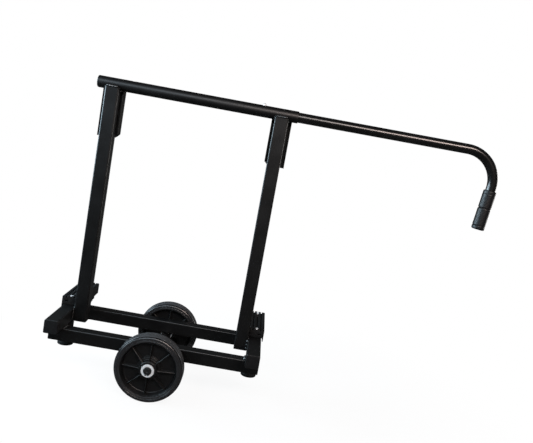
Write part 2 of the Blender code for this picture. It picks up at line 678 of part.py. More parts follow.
def axle_set():
    """The axle in its tube under the rails, with washers and a retaining ring at each wheel."""
    tube_bore = AXLE_DIAMETER / 2 + SEAT_GAP
    tube = round_tube("axle_tube", AXLE_TUBE_DIAMETER / 2, tube_bore, AXLE_TUBE_LENGTH, ROUND_SIDES)
    place(tube, CART, (0, 0, AXLE_Z), "+Y", BLACK_STEEL)
    radius = AXLE_DIAMETER / 2
    half = AXLE_LENGTH / 2
    groove = radius - RING_DEPTH
    outer_side = RING_Y + RING_THICKNESS + SEAT_GAP
    inner_side = RING_Y - SEAT_GAP
    upper = [
        (0, half),
        (radius - AXLE_CHAMFER, half),
        (radius, half - AXLE_CHAMFER),
        (radius, outer_side),
        (groove, outer_side),
        (groove, inner_side),
        (radius, inner_side),
    ]
    profile = upper + [(r, -z) for r, z in reversed(upper)]
    place(turned("axle", profile, ROUND_SIDES), CART, (0, 0, AXLE_Z), "+Y", BLACK_STEEL)
    for side, sign in NEAR_FAR:
        towards = "+Y" if sign > 0 else "-Y"
        for face, step in (("inner", -1), ("outer", 1)):
            washer = round_tube(
                f"washer_{side}_{face}", WASHER_DIAMETER / 2, WASHER_BORE, WASHER_THICKNESS, ROUND_SIDES
            )
            y = sign * (WHEEL_TRACK / 2 + step * (WASHER_INNER_Y + WASHER_THICKNESS / 2))
            place(washer, CART, (0, y, AXLE_Z), towards, ZINC)
        ring = retaining_ring(f"retaining_ring_{side}")
        ring_y = sign * (RING_Y + RING_THICKNESS / 2)
        place(ring, CART, (0, ring_y, AXLE_Z), "-Y", BLACK_STEEL)


def tyre_profile():
    """The tyre's section, (radius, height) points down its outer side and back up its seat."""
    crown = WHEEL_DIAMETER / 2
    half = TYRE_WIDTH / 2
    seat = RIM_DIAMETER / 2 - RIM_SEAT_DEPTH + SEAT_GAP
    flange = RIM_DIAMETER / 2 + SEAT_GAP
    bead = RIM_WIDTH / 2 - RIM_FLANGE_WIDTH - SEAT_GAP
    shoulder = arc((crown - TYRE_SHOULDER, half - TYRE_SHOULDER), TYRE_SHOULDER, 90, 0, 3)
    side = [(seat, bead), (flange, bead), (flange, RIM_WIDTH / 2 - SEAT_GAP)] + shoulder
    gap = TYRE_GROOVE_WIDTH / 2
    deep = crown - TYRE_GROOVE_DEPTH
    grooves = []
    for middle in (TYRE_GROOVE_PITCH, 0, -TYRE_GROOVE_PITCH):
        grooves += [(crown, middle + gap), (deep, middle), (crown, middle - gap)]
    return side + grooves + [(r, -z) for r, z in reversed(side)]


def rim_profile():
    """The rim's section: hub, web and band, (radius, height) points down the outer side."""
    outer = RIM_DIAMETER / 2
    seat = outer - RIM_SEAT_DEPTH
    half = RIM_WIDTH / 2
    ledge = half - RIM_FLANGE_WIDTH
    inner = seat - RIM_BAND
    web = WEB_THICKNESS / 2
    hub = HUB_DIAMETER / 2
    root = HUB_ROOT_DIAMETER / 2
    face = HUB_LENGTH / 2
    bore = BUSH_RADIUS + SEAT_GAP
    upper = [
        (bore, face),
        (hub, face),
        (hub, HUB_ROOT_WIDTH / 2),
        (root, HUB_ROOT_WIDTH / 2),
        (root, web),
        (inner - RIM_DRAFT, web),
        (inner, half),
        (outer, half),
        (outer, ledge),
        (seat, ledge),
    ]
    return upper + [(r, -z) for r, z in reversed(upper)]


def rim_ribs():
    """The thin ribs between hub and band, standing out from both faces of the web."""
    hub = HUB_DIAMETER / 2
    band = RIM_DIAMETER / 2 - RIM_SEAT_DEPTH - RIM_BAND
    high = HUB_LENGTH / 2 - 4 * HUB_EDGE
    low = RIM_WIDTH / 2 - 4 * HUB_EDGE
    kink = hub + (band - hub) * 0.72
    half_outline = [(hub - HUB_EDGE, high), (kink, low + HUB_EDGE), (band + HUB_EDGE, low - HUB_EDGE)]
    outline = half_outline + [(x, -y) for x, y in reversed(half_outline)]
    ribs = extruded("ribs", [outline], RIB_THICKNESS)
    single = ribs.data
    bpy.data.objects.remove(ribs)
    shape = bmesh.new()
    for index in range(RIB_COUNT):
        angle = RIB_TURN + 2 * math.pi * index / RIB_COUNT
        first = len(shape.verts)
        shape.from_mesh(single)
        shape.verts.ensure_lookup_table()
        fresh = shape.verts[first:]
        bmesh.ops.rotate(shape, verts=fresh, matrix=Matrix.Rotation(math.pi / 2, 3, "X"))
        bmesh.ops.rotate(shape, verts=fresh, matrix=Matrix.Rotation(angle, 3, "Z"))
    joined = bpy.data.meshes.new("ribs")
    shape.to_mesh(joined)
    shape.free()
    return joined


def wheels():
    """Two wheels, each a ribbed rim, a tyre and a hub bush, on an empty on the axle."""
    for side, sign in NEAR_FAR:
        towards = "+Y" if sign > 0 else "-Y"
        holder = empty(f"wheel_{side}", CART, (0, sign * WHEEL_TRACK / 2, AXLE_Z))
        rim = turned(f"rim_{side}", rim_profile(), WHEEL_SIDES, ring=True)
        place(rim, holder, (0, 0, 0), towards, BLACK_PLASTIC)
        shape_with(rim, bpy.data.objects.new(f"rim_{side}_ribs", rim_ribs()), "UNION", (0, 0, 0), towards)
        tyre = turned(f"tyre_{side}", tyre_profile(), WHEEL_SIDES, ring=True)
        place(tyre, holder, (0, 0, 0), towards, BLACK_RUBBER)
        bush = round_tube(f"hub_bush_{side}", BUSH_RADIUS, WASHER_BORE, HUB_LENGTH, ROUND_SIDES)
        place(bush, holder, (0, 0, 0), towards, ZINC)


def handle_path():
    """The centre line of the handle tube in the XZ plane: a straight, a bend down and a short end."""
    points = [(HANDLE_INNER_X - BUTTON_X, 0), (BEND_X - BUTTON_X, 0)]
    centre = (BEND_X - BUTTON_X, -BEND_RADIUS)
    last = 90 - math.degrees(BEND_ANGLE)
    points += arc(centre, BEND_RADIUS, 90, last, BEND_STEPS)[1:]
    end_x, end_z = points[-1]
    length = GRIP_START + GRIP_LENGTH - GRIP_FLOOR - SEAT_GAP
    points.append((end_x + length * math.cos(BEND_ANGLE), end_z - length * math.sin(BEND_ANGLE)))
    return points


def grip_profile():
    """The grip's section: a rubber cup over the tube's end with one groove round its middle."""
    radius = GRIP_DIAMETER / 2
    bore = HANDLE_DIAMETER / 2 + SEAT_GAP
    edge = GRIP_EDGE
    ring = GRIP_LENGTH - GRIP_RING_AT
    return [
        (0, GRIP_FLOOR),
        (bore, GRIP_FLOOR),
        (bore, GRIP_LENGTH),
        (radius - edge / 2, GRIP_LENGTH),
        (radius, GRIP_LENGTH - edge / 2),
        (radius, ring + GRIP_RING_WIDTH / 2),
        (radius - GRIP_RING_DEPTH, ring + GRIP_RING_WIDTH / 4),
        (radius - GRIP_RING_DEPTH, ring - GRIP_RING_WIDTH / 4),
        (radius, ring - GRIP_RING_WIDTH / 2),
        (radius, edge),
        (radius - 0.3 * edge, 0.3 * edge),
        (radius - edge, 0),
        (0, 0),
    ]


def handle():
    """The bent handle tube with its grip, the spring clip inside it and the snap button."""
    holder = empty("handle", CART, (BUTTON_X, UPRIGHT_Y, TOP_TUBE_Z))
    path = handle_path()
    tube = swept("handle_tube", [(x, 0, z) for x, z in path], HANDLE_DIAMETER / 2, HANDLE_SIDES, capped=False)
    place(tube, holder, (0, 0, 0), "+Z", BLACK_STEEL)
    wall = tube.modifiers.new("wall", "SOLIDIFY")
    wall.thickness = HANDLE_WALL
    wall.offset = -1
    wall.use_even_offset = True
    hole = turned_pin("handle_tube_hole", BUTTON_DIAMETER / 2 + SEAT_GAP, HANDLE_DIAMETER / 2)
    shape_with(tube, hole, "DIFFERENCE", (0, 0, HANDLE_DIAMETER / 2))
    grip = turned("handle_grip", grip_profile(), HANDLE_SIDES)
    end_x, end_z = path[-1]
    down = (math.cos(BEND_ANGLE), -math.sin(BEND_ANGLE))
    foot_x = end_x + (GRIP_FLOOR + SEAT_GAP) * down[0]
    foot_z = end_z + (GRIP_FLOOR + SEAT_GAP) * down[1]
    place(grip, holder, (foot_x, 0, foot_z), "+Z", BLACK_RUBBER)
    grip.rotation_euler = (0, BEND_ANGLE - math.pi / 2, 0)
    snap_button(holder)


def snap_button(holder):
    """The button in the two tubes' holes, and the V-shaped leaf spring that holds it out."""
    top = TOP_TUBE_DIAMETER / 2 + BUTTON_PROUD
    radius = BUTTON_DIAMETER / 2
    flange = BUTTON_FLANGE_DIAMETER / 2
    flange_top = math.sqrt(HANDLE_INNER_RADIUS**2 - flange**2) - SEAT_GAP
    flange_bottom = flange_top - BUTTON_FLANGE
    dome = arc((0, top - radius), radius, 90, 15, 5)
    profile = dome + [(radius, flange_top), (flange, flange_top), (flange, flange_bottom), (0, flange_bottom)]
    button = turned("snap_button", profile, SMALL_SIDES)
    place(button, holder, (0, 0, 0), "+Z", ZINC)
    half = CLIP_WIDTH / 2
    floor = -math.sqrt(HANDLE_INNER_RADIUS**2 - half**2) + SEAT_GAP + CLIP_THICKNESS / 2
    ceiling = flange_bottom - SEAT_GAP - CLIP_THICKNESS / 2
    apex = (CLIP_LENGTH, (floor + ceiling) / 2)
    bend = arc(apex, CLIP_BEND_RADIUS, 75, -75, 6)
    line = [(-CLIP_OVERHANG, ceiling), (CLIP_SEAT, ceiling), *bend, (CLIP_SEAT, floor), (-CLIP_OVERHANG, floor)]
    mesh = bpy.data.meshes.new("clip_spring")
    vertices = [(x, y, z) for x, z in line for y in (-half, half)]
    faces = [(2 * i, 2 * i + 2, 2 * i + 3, 2 * i + 1) for i in range(len(line) - 1)]
    mesh.from_pydata(vertices, [], faces)
    clip = bpy.data.objects.new("clip_spring", mesh)
    place(clip, holder, (0, 0, 0), "+Z", ZINC)
    leaf = clip.modifiers.new("leaf", "SOLIDIFY")
    leaf.thickness = CLIP_THICKNESS
    leaf.offset = 0
    leaf.use_even_offset = True


clear_objects()
PARTS = new_collection("podium_transport_cart")
CUTTERS = new_collection("cutters")
BLACK_STEEL = new_material("black_powder_coat", (0.02, 0.021, 0.023), 0.38, 0.0)
BLACK_RUBBER = new_material("black_rubber", (0.014, 0.014, 0.015), 0.75, 0.0)
BLACK_PLASTIC = new_material("black_plastic", (0.018, 0.018, 0.02), 0.5, 0.0)
ZINC = new_material("zinc_plate", (0.62, 0.63, 0.64), 0.35, 1.0)
CART = empty("cart", None, (-MIDDLE_X, 0, 0))
rails()
cross_tubes()
uprights()
top_tube()
legs()
base_pads()
top_pads()
axle_set()
wheels()
handle()
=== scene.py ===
"""A transport cart for stage decks: welded black tube frame, two wheels, ribbed rubber pads and a long
handle that telescopes out of the round top tube.

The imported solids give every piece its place. Each section finishes one piece or group of like pieces,
in the order in which the cart is put together. Lengths are in metres: +X to the handle, -Y to the
near wheel, +Z up.
"""

import json
import math

import bmesh
import bpy
import numpy as np
from mathutils import Matrix, Vector


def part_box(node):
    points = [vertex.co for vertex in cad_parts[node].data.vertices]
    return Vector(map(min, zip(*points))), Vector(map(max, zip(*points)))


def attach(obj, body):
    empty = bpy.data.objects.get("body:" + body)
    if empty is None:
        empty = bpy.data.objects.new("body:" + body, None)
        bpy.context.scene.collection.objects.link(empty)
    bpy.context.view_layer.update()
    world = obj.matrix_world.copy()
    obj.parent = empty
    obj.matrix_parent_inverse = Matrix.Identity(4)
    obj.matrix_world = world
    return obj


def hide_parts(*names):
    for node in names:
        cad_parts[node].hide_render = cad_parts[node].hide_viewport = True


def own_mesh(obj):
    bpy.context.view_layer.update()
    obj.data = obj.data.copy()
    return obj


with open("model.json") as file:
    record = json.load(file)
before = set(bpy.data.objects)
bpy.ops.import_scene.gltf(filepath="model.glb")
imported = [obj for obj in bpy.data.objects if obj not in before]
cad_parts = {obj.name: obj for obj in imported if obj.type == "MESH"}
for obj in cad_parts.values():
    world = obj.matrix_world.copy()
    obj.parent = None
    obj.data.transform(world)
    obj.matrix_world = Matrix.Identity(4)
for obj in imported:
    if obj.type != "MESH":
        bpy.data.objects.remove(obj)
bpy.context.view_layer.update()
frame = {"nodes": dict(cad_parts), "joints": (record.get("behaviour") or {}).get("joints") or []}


# The welded base: two box rails with two box tubes across them, cold-formed steel with round corners,
# and two box uprights notched at the top to seat the round tube. All in black powder coat, which
# leaves a fine orange peel and clouds a little in its gloss.


class Socket:
    """A shader node's output. + - * on sockets add Math nodes, and make() adds any other node."""

    def __init__(self, tree, link=None):
        self.tree = tree
        self.link = link

    def make(self, kind, settings=None, inputs=None, output=0):
        """Add a node: its settings first, then a value or another socket for each named input."""
        node = self.tree.nodes.new(kind)
        for name, value in (settings or {}).items():
            setattr(node, name, value)
        for name, value in (inputs or {}).items():
            if isinstance(value, Socket):
                self.tree.links.new(value.link, node.inputs[name])
            else:
                node.inputs[name].default_value = value
        return Socket(self.tree, node.outputs[output])

    def beside(self, output):
        """Another output of the same node, by its name."""
        return Socket(self.tree, self.link.node.outputs[output])

    def maths(self, operation, first, second):
        return self.make("ShaderNodeMath", {"operation": operation}, {0: first, 1: second})

    def __add__(self, other):
        return self.maths("ADD", self, other)

    def __sub__(self, other):
        return self.maths("SUBTRACT", self, other)

    def __rsub__(self, other):
        return self.maths("SUBTRACT", other, self)

    def __mul__(self, other):
        return self.maths("MULTIPLY", self, other)

    __radd__ = __add__
    __rmul__ = __mul__

    def between(self, low, high):
        """0 below low, 1 above high and straight between them."""
        limits = {"From Min": low, "From Max": high}
        return self.make("ShaderNodeMapRange", {"clamp": True}, {"Value": self, **limits})

    def colour(self, first, second):
        """The first colour where this is 0, the second where it is 1."""
        mix = {"data_type": "RGBA", "clamp_factor": True}
        return self.make("ShaderNodeMix", mix, {0: self, 6: (*first, 1), 7: (*second, 1)}, output=2)

    def vector(self, operation, second):
        """Vector maths on this and another vector."""
        return self.make("ShaderNodeVectorMath", {"operation": operation}, {0: self, 1: second})

    def length(self):
        """The length of this vector."""
        return self.make("ShaderNodeVectorMath", {"operation": "LENGTH"}, {0: self}, output=1)

    def noise(self, scale, detail):
        """Cloudy noise over these coordinates: that many waves to the metre, about 0.5."""
        waves = {"Vector": self, "Scale": scale, "Detail": detail}
        return self.make("ShaderNodeTexNoise", None, waves)


def new_finish(name, metallic=0.0, specular=0.5):
    """A Principled material: the material, its shader and a Socket of object coordinates."""
    material = bpy.data.materials.new(name)
    material.use_nodes = True
    shader = material.node_tree.nodes["Principled BSDF"]
    shader.inputs["Metallic"].default_value = metallic
    shader.inputs["Specular IOR Level"].default_value = specular
    place = Socket(material.node_tree).make("ShaderNodeTexCoord", output=3)
    return material, shader, place


def feed(shader, name, value):
    """Give one of the shader's sockets a socket that varies over the surface."""
    value.tree.links.new(value.link, shader.inputs[name])


def relief(shader, height, depth):
    """Bump the surface by a height of 0 to 1 that stands for that depth in metres."""
    bump = height.make("ShaderNodeBump", None, {"Height": height, "Distance": depth, "Strength": 1.0})
    feed(shader, "Normal", bump)


def powder_coat(name, dark, light, roughness, peel, specular):
    """Black powder coat: orange peel of that depth, with slow clouds from dark to light and in gloss."""
    coat, shader, place = new_finish(name, specular=specular)
    peeling = place.noise(620, 1.0)
    cloud = place.noise(14, 3.0).between(0.35, 0.65)
    grit = place.noise(2600, 2.0)
    feed(shader, "Base Color", cloud.colour(dark, light))
    feed(shader, "Roughness", cloud * 0.05 + peeling * 0.06 + roughness)
    relief(shader, peeling * 0.75 + grit * 0.25, peel)
    return coat


COAT_DARK = (0.0009, 0.0009, 0.0010)
COAT_LIGHT = (0.0016, 0.0016, 0.0017)
COAT_PEEL = 0.00008
FRAME_COAT = powder_coat("frame_coat", COAT_DARK, COAT_LIGHT, 0.32, COAT_PEEL, 0.58)
SOFT_ANGLE = math.radians(34)
MERGE = 0.00002


def finished(name, shape, body, finish, merge=MERGE, flat_angle=SOFT_ANGLE):
    """One object from (vertices, faces): doubles merged, faces outwards, smooth but for its real edges."""
    vertices, faces = shape
    mesh = bpy.data.meshes.new(name)
    mesh.from_pydata(vertices, [], faces)
    form = bmesh.new()
    form.from_mesh(mesh)
    bmesh.ops.remove_doubles(form, verts=form.verts, dist=merge)
    bmesh.ops.dissolve_degenerate(form, edges=form.edges, dist=merge / 4)
    bmesh.ops.recalc_face_normals(form, faces=form.faces)
    form.to_mesh(mesh)
    form.free()
    mesh.shade_smooth()
    mesh.set_sharp_from_angle(angle=flat_angle)
    mesh.materials.append(finish)
    piece = bpy.data.objects.new(name, mesh)
    bpy.context.scene.collection.objects.link(piece)
    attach(piece, body)
    return piece


def dressed(node, shape, body, finish, merge=MERGE):
    """The finished object that takes a node's place."""
    piece = finished(f"{node}_finished", shape, body, finish, merge)
    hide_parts(node)
    return piece


def skin(grid, wrap_rows=True, wrap_columns=True):
    """Vertices and faces of a grid of points: neighbours in rows and columns make the faces."""
    rows, columns = grid.shape[:2]
    number = np.arange(rows * columns).reshape(rows, columns)
    if wrap_rows:
        number = np.vstack((number, number[:1]))
    if wrap_columns:
        number = np.hstack((number, number[:, :1]))
    corners = (number[:-1, :-1], number[1:, :-1], number[1:, 1:], number[:-1, 1:])
    faces = np.stack(corners, axis=-1).reshape(-1, 4)
    return grid.reshape(-1, 3), faces


def box_ends(node):
    """The low and the high corner of a node's box, as arrays."""
    low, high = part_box(node)
    return np.array(low), np.array(high)


def rounded_outline(width, height, radius, inset, side_steps):
    """A rectangle with quarter-circle corners, shrunk by the inset towards its inside.

    Corner k is its centre plus (radius - inset) * (cos a, sin a), for a from 90k to 90k + 90 degrees.
    Each straight side after a corner is cut in side_steps.
    """
    turn = np.linspace(0, math.pi / 2, 7)
    signs = np.array([(1, 1), (-1, 1), (-1, -1), (1, -1)])
    centres = signs * (width / 2 - radius, height / 2 - radius)
    angles = turn[None, :] + (np.arange(4) * math.pi / 2)[:, None]
    rays = np.stack((np.cos(angles), np.sin(angles)), axis=-1)
    corners = centres[:, None] + max(radius - inset, 0) * rays
    share = (np.arange(1, side_steps) / side_steps)[None, :, None]
    following = np.roll(corners[:, :1], -1, axis=0)
    sides = corners[:, -1:] * (1 - share) + following * share
    return np.concatenate((corners, sides), axis=1).reshape(-1, 2)


AXES = {
    "X": ((0, 1, 0), (0, 0, 1), (1, 0, 0)),
    "Y": ((1, 0, 0), (0, 0, 1), (0, 1, 0)),
    "Z": ((1, 0, 0), (0, 1, 0), (0, 0, 1)),
}


def laid_along(axis, centre, across, up, along):
    """Points from their coordinates across, up and along an axis, about a centre."""
    parts = np.stack(np.broadcast_arrays(across, up, along), axis=-1)
    return parts @ np.array(AXES[axis], float) + np.array(centre)


def indices(axis):
    """Which coordinates run across, up and along an axis."""
    return [direction.index(1) for direction in AXES[axis]]


TUBE_WALL = 0.002
TUBE_CORNER = 0.004
CUT_EDGE = 0.0003


def box_tube(node, axis, top=None):
    """A box tube over a node's solid: the outline at the wall's outside and inside, end to end.

    Rows run out along the tube's outside and back along its inside, with a broken edge at each cut.
    top, if given, is the height at which the last outer and inner rows end, for each of their points.
    """
    low, high = box_ends(node)
    centre = (low + high) / 2
    size = high - low
    across, up, along = indices(axis)
    half = size[along] / 2
    stations = [(CUT_EDGE, -half), (0, -half + CUT_EDGE), (0, half - CUT_EDGE), (CUT_EDGE, half)]
    stations += [(TUBE_WALL - CUT_EDGE, half), (TUBE_WALL, half - CUT_EDGE)]
    stations += [(TUBE_WALL, -half + CUT_EDGE), (TUBE_WALL - CUT_EDGE, -half)]
    rows = []
    for inset, station in stations:
        outline = rounded_outline(size[across], size[up], TUBE_CORNER, inset, 12)
        reach = np.full(len(outline), station)
        if top is not None and station > 0:
            reach = reach - half + top(outline) - centre[along]
        rows.append(laid_along(axis, centre, outline[:, 0], outline[:, 1], reach))
    return skin(np.array(rows))


for name in ("rail_near", "rail_far"):
    dressed(name, box_tube(name, "X"), "frame", FRAME_COAT)
for name in ("cross_tube_left", "cross_tube_right"):
    dressed(name, box_tube(name, "Y"), "frame", FRAME_COAT)

FIT_GAP = 0.0003
top_tube_low, top_tube_high = box_ends("top_tube")
TOP_TUBE_Y = (top_tube_low[1] + top_tube_high[1]) / 2
TOP_TUBE_Z = (top_tube_low[2] + top_tube_high[2]) / 2
TOP_TUBE_RADIUS = (top_tube_high[2] - top_tube_low[2]) / 2
UPRIGHT_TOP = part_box("upright_left")[1][2]


def saddle(outline):
    """Where an upright ends: at its cut top, or lower, on the round tube's underside."""
    reach = (TOP_TUBE_RADIUS + FIT_GAP) ** 2 - outline[:, 1] ** 2
    return np.minimum(UPRIGHT_TOP, TOP_TUBE_Z - np.sqrt(np.maximum(reach, 0)))


for name in ("upright_left", "upright_right"):
    dressed(name, box_tube(name, "Z", saddle), "frame", FRAME_COAT)


# Round tubes of the frame: the top tube with its two button holes, the two legs and the axle tube.
# Drawn steel tube, cut square and deburred, in the frame's coat, which comes out duller on it.


def softened(profile, radius, closed=True):
    """Round each corner of a polygon of points, in three steps.

    A corner C between A and B becomes (1-t)^2 P + 2t(1-t) C + t^2 Q, where P and Q lie that radius
    away from C towards A and B, and at most 0.45 of the way.
    """
    points = np.asarray(profile, float)
    to_last = np.roll(points, 1, axis=0) - points
    to_next = np.roll(points, -1, axis=0) - points
    radius = np.broadcast_to(radius, len(points)).astype(float)
    if not closed:
        radius[[0, -1]] = 0
    ways = []
    for way in (to_last, to_next):
        length = np.linalg.norm(way, axis=1)
        step = np.minimum(radius, 0.45 * length) / np.maximum(length, 1e-9)
        ways.append(points + way * step[:, None])
    t = np.linspace(0, 1, 4)[None, :, None]
    start, end, corner = ways[0][:, None], ways[1][:, None], points[:, None]
    return ((1 - t) ** 2 * start + 2 * t * (1 - t) * corner + t**2 * end).reshape(-1, points.shape[1])


def turned(profile, axis, centre, sides=96, closed=True):
    """A profile of (radius, along) points turned about an axis.

    The point at angle a is the centre + radius * (cos a, sin a) across the axis + along.
    """
    profile = np.asarray(profile, float)
    angle = np.arange(sides) * 2 * math.pi / sides
    across = profile[:, :1] * np.cos(angle)
    up = profile[:, :1] * np.sin(angle)
    return skin(laid_along(axis, centre, across, up, profile[:, 1:]), wrap_rows=closed)


def node_middle(node):
    """The middle of a node's box."""
    low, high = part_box(node)
    return np.array((low + high) / 2)


def round_tube(node, axis, inner_radius, edge=CUT_EDGE):
    """A round tube over a node's solid: a rectangle from its inner to its outer radius, turned."""
    low, high = box_ends(node)
    along = "XYZ".index(axis)
    half = (high - low)[along] / 2
    radius = (high - low)[(along + 1) % 3] / 2
    section = [(radius, half), (inner_radius, half), (inner_radius, -half), (radius, -half)]
    return turned(softened(section, edge), axis, node_middle(node))


def joined(*skins):
    """Several (vertices, faces) as one, with the faces renumbered."""
    vertices, faces, start = [], [], 0
    for points, corners in skins:
        vertices.append(points)
        faces += (np.asarray(corners) + start).tolist()
        start += len(points)
    return np.vstack(vertices), faces


def bored(piece, centres, length):
    """Cut the button's round hole down through a tube at each centre, with a drill of that length."""
    half = length / 2
    section = [(0, -half), (BUTTON_HOLE_RADIUS, -half), (BUTTON_HOLE_RADIUS, half), (0, half)]
    vertices, faces = joined(*[turned(section, "Z", centre, 48, closed=False) for centre in centres])
    mesh = bpy.data.meshes.new("drills")
    mesh.from_pydata(vertices, [], faces)
    form = bmesh.new()
    form.from_mesh(mesh)
    bmesh.ops.remove_doubles(form, verts=form.verts, dist=0.00001)
    bmesh.ops.recalc_face_normals(form, faces=form.faces)
    form.to_mesh(mesh)
    form.free()
    drill = bpy.data.objects.new("drills", mesh)
    bpy.context.scene.collection.objects.link(drill)
    cut = piece.modifiers.new("holes", "BOOLEAN")
    cut.operation = "DIFFERENCE"
    cut.solver = "EXACT"
    cut.object = drill
    made_final(piece)
    bpy.data.objects.remove(drill)


def made_final(piece):
    """Turn a piece's modifiers into its mesh."""
    bpy.context.view_layer.update()
    graph = bpy.context.evaluated_depsgraph_get()
    result = bpy.data.meshes.new_from_object(piece.evaluated_get(graph))
    piece.modifiers.clear()
    piece.data = result


ROUND_COAT = powder_coat("round_tube_coat", COAT_DARK, COAT_LIGHT, 0.39, COAT_PEEL, 0.46)
HANDLE_BORE_RADIUS = 0.0155
BUTTON_HOLE_RADIUS = 0.0053
JOINTS = {joint["name"]: joint for joint in frame["joints"]}
HANDLE_TRAVEL = -JOINTS["handle_slide"]["range_m"][0]
BUTTON_X = node_middle("snap_button")[0]
top_tube = round_tube("top_tube", "X", HANDLE_BORE_RADIUS)
top_tube = dressed("top_tube", top_tube, "frame", ROUND_COAT)
hole_places = [(x, TOP_TUBE_Y, top_tube_high[2]) for x in (BUTTON_X, BUTTON_X - HANDLE_TRAVEL)]
bored(top_tube, hole_places, 0.016)
LEG_RADIUS = 0.0175
for name in ("leg_left", "leg_right"):
    dressed(name, round_tube(name, "Z", LEG_RADIUS - TUBE_WALL), "frame", ROUND_COAT)
AXLE_BORE_RADIUS = 0.0103
axle_tube = round_tube("axle_tube", "Y", AXLE_BORE_RADIUS)
dressed("axle_tube", axle_tube, "frame", ROUND_COAT)


# Weld beads in the corners where the tubes meet, laid by hand before the coat went on: each is a
# row of overlapping ripples, a little wider where the torch paused. Those at the right end's inner
# seams are chunky. The coat has run smooth and glossy on all of them.

RIPPLE = 0.0032
WIDE_RIPPLE = 0.0115
SLIM_BEAD = 0.0026
WIDE_BEAD = 0.0062
AXLE_BEAD = 0.0028
LEG_BEAD = 0.0024
SADDLE_BEAD = 0.0042
CHEEK_BEAD = 0.0025
SEAM_END = 0.003
AXLE_SEAM = 0.0088
AXLE_SEAM_DROP = 0.0012
LEG_SEAM_RADIUS = 0.0178
SADDLE_SEAM = 0.0176
SADDLE_SEAM_RISE = 0.0026
CHEEK_SWING = 1.05


def bead(path, radius, seed, ripple=RIPPLE):
    """A rippled ridge along a path: round sections whose radius follows the ripples.

    The section's radius is radius * (0.78 + 0.22 * |sin(pi s / ripple)|) * wander(s), falling to
    nothing in a quarter circle at each end, where s is the length along the path. The seed shifts
    the wander.
    """
    step = np.linalg.norm(np.diff(path, axis=0), axis=1)
    length = np.concatenate(([0], np.cumsum(step)))
    s = np.linspace(0, length[-1], max(int(length[-1] / ripple * 6), 24))
    line = np.stack([np.interp(s, length, path[:, i]) for i in range(3)], axis=1)
    tangent = np.gradient(line, axis=0)
    tangent /= np.linalg.norm(tangent, axis=1)[:, None]
    helper = np.where(np.abs(tangent[:, 2:]) < 0.9, (0.0, 0.0, 1.0), (1.0, 0.0, 0.0))
    side = np.cross(tangent, helper)
    side /= np.linalg.norm(side, axis=1)[:, None]
    up = np.cross(side, tangent)
    wander = 1 + 0.08 * np.sin(2.1 * s / ripple + seed) * np.sin(0.7 * s / ripple + 2 * seed)
    ends = np.sqrt(np.clip(1 - (1 - np.minimum(s, s[-1] - s) / radius).clip(0) ** 2, 0, 1))
    size = radius * (0.78 + 0.22 * np.abs(np.sin(math.pi * s / ripple))) * wander * ends
    turn = np.arange(12) * math.pi / 6
    ring = np.cos(turn)[None, :, None] * side[:, None] + np.sin(turn)[None, :, None] * up[:, None]
    return skin(line[:, None] + size[:, None, None] * ring, wrap_rows=False)


def seam_points(x, y, z):
    """Points along a seam: each coordinate is one number for all of them, or one for each."""
    return np.stack(np.broadcast_arrays(x, y, z), axis=1).astype(float)


beads = []
axle_x = node_middle("axle")[0]
for end, way in (("left", -1), ("right", 1)):
    cross_low, cross_high = box_ends(f"cross_tube_{end}")
    inner_x = cross_low[0] if end == "right" else cross_high[0]
    width, ripple = (WIDE_BEAD, WIDE_RIPPLE) if end == "right" else (SLIM_BEAD, RIPPLE)
    for side in ("near", "far"):
        rail_low, rail_high = box_ends(f"rail_{side}")
        for y in (rail_low[1], rail_high[1]):
            seam = seam_points((cross_low[0] + SEAM_END, cross_high[0] - SEAM_END), y, cross_low[2])
            beads.append(bead(seam, SLIM_BEAD, y * 90))
        seam = seam_points(inner_x, (rail_low[1] + SEAM_END, rail_high[1] - SEAM_END), cross_low[2])
        beads.append(bead(seam, width, way, ripple))
        for step in (-AXLE_SEAM, AXLE_SEAM):
            seam_y = (rail_low[1] + 0.002, rail_high[1] - 0.002)
            seam = seam_points(axle_x + step, seam_y, rail_low[2] - AXLE_SEAM_DROP)
            beads.append(bead(seam, AXLE_BEAD, step * 400))
    post_low, post_high = box_ends(f"upright_{end}")
    for y in (post_low[1], post_high[1]):
        seam = seam_points(inner_x, y, (cross_low[2] + 0.002, cross_high[2] - 0.002))
        beads.append(bead(seam, width, y * 70, ripple))
    seam = seam_points(inner_x, (post_low[1] + 0.002, post_high[1] - 0.006), cross_high[2])
    beads.append(bead(seam, SLIM_BEAD, 4))
    leg_low, leg_high = box_ends(f"leg_{end}")
    leg_x, leg_y = ((leg_low + leg_high) / 2)[:2]
    turn = np.linspace(0, 2 * math.pi, 49)
    ring_x = leg_x + LEG_SEAM_RADIUS * np.cos(turn)
    ring_y = leg_y + LEG_SEAM_RADIUS * np.sin(turn)
    beads.append(bead(seam_points(ring_x, ring_y, leg_high[2]), LEG_BEAD, 1))
    post_x = (post_low[0] + post_high[0]) / 2
    post_half = (post_high[0] - post_low[0]) / 2
    along = np.linspace(TUBE_CORNER / 2 - post_half, post_half - TUBE_CORNER / 2, 9)
    for facing in (-1, 1):
        seam_y = TOP_TUBE_Y + facing * SADDLE_SEAM
        seam = seam_points(post_x + along, seam_y, UPRIGHT_TOP + SADDLE_SEAM_RISE)
        beads.append(bead(seam, SADDLE_BEAD, 7 * facing))
    swing = np.linspace(-CHEEK_SWING, CHEEK_SWING, 25)
    reach = TOP_TUBE_RADIUS + 0.0004
    seam_y = TOP_TUBE_Y + reach * np.sin(swing)
    seam_z = TOP_TUBE_Z - reach * np.cos(swing)
    for facing in (-1, 1):
        seam = seam_points(post_x + facing * post_half, seam_y, seam_z)
        beads.append(bead(seam, CHEEK_BEAD, 3 * facing))
BEAD_DARK = (0.0012, 0.0012, 0.0013)
BEAD_LIGHT = (0.0024, 0.0024, 0.0025)
BEAD_COAT = powder_coat("bead_coat", BEAD_DARK, BEAD_LIGHT, 0.26, 0.00003, 1.0)
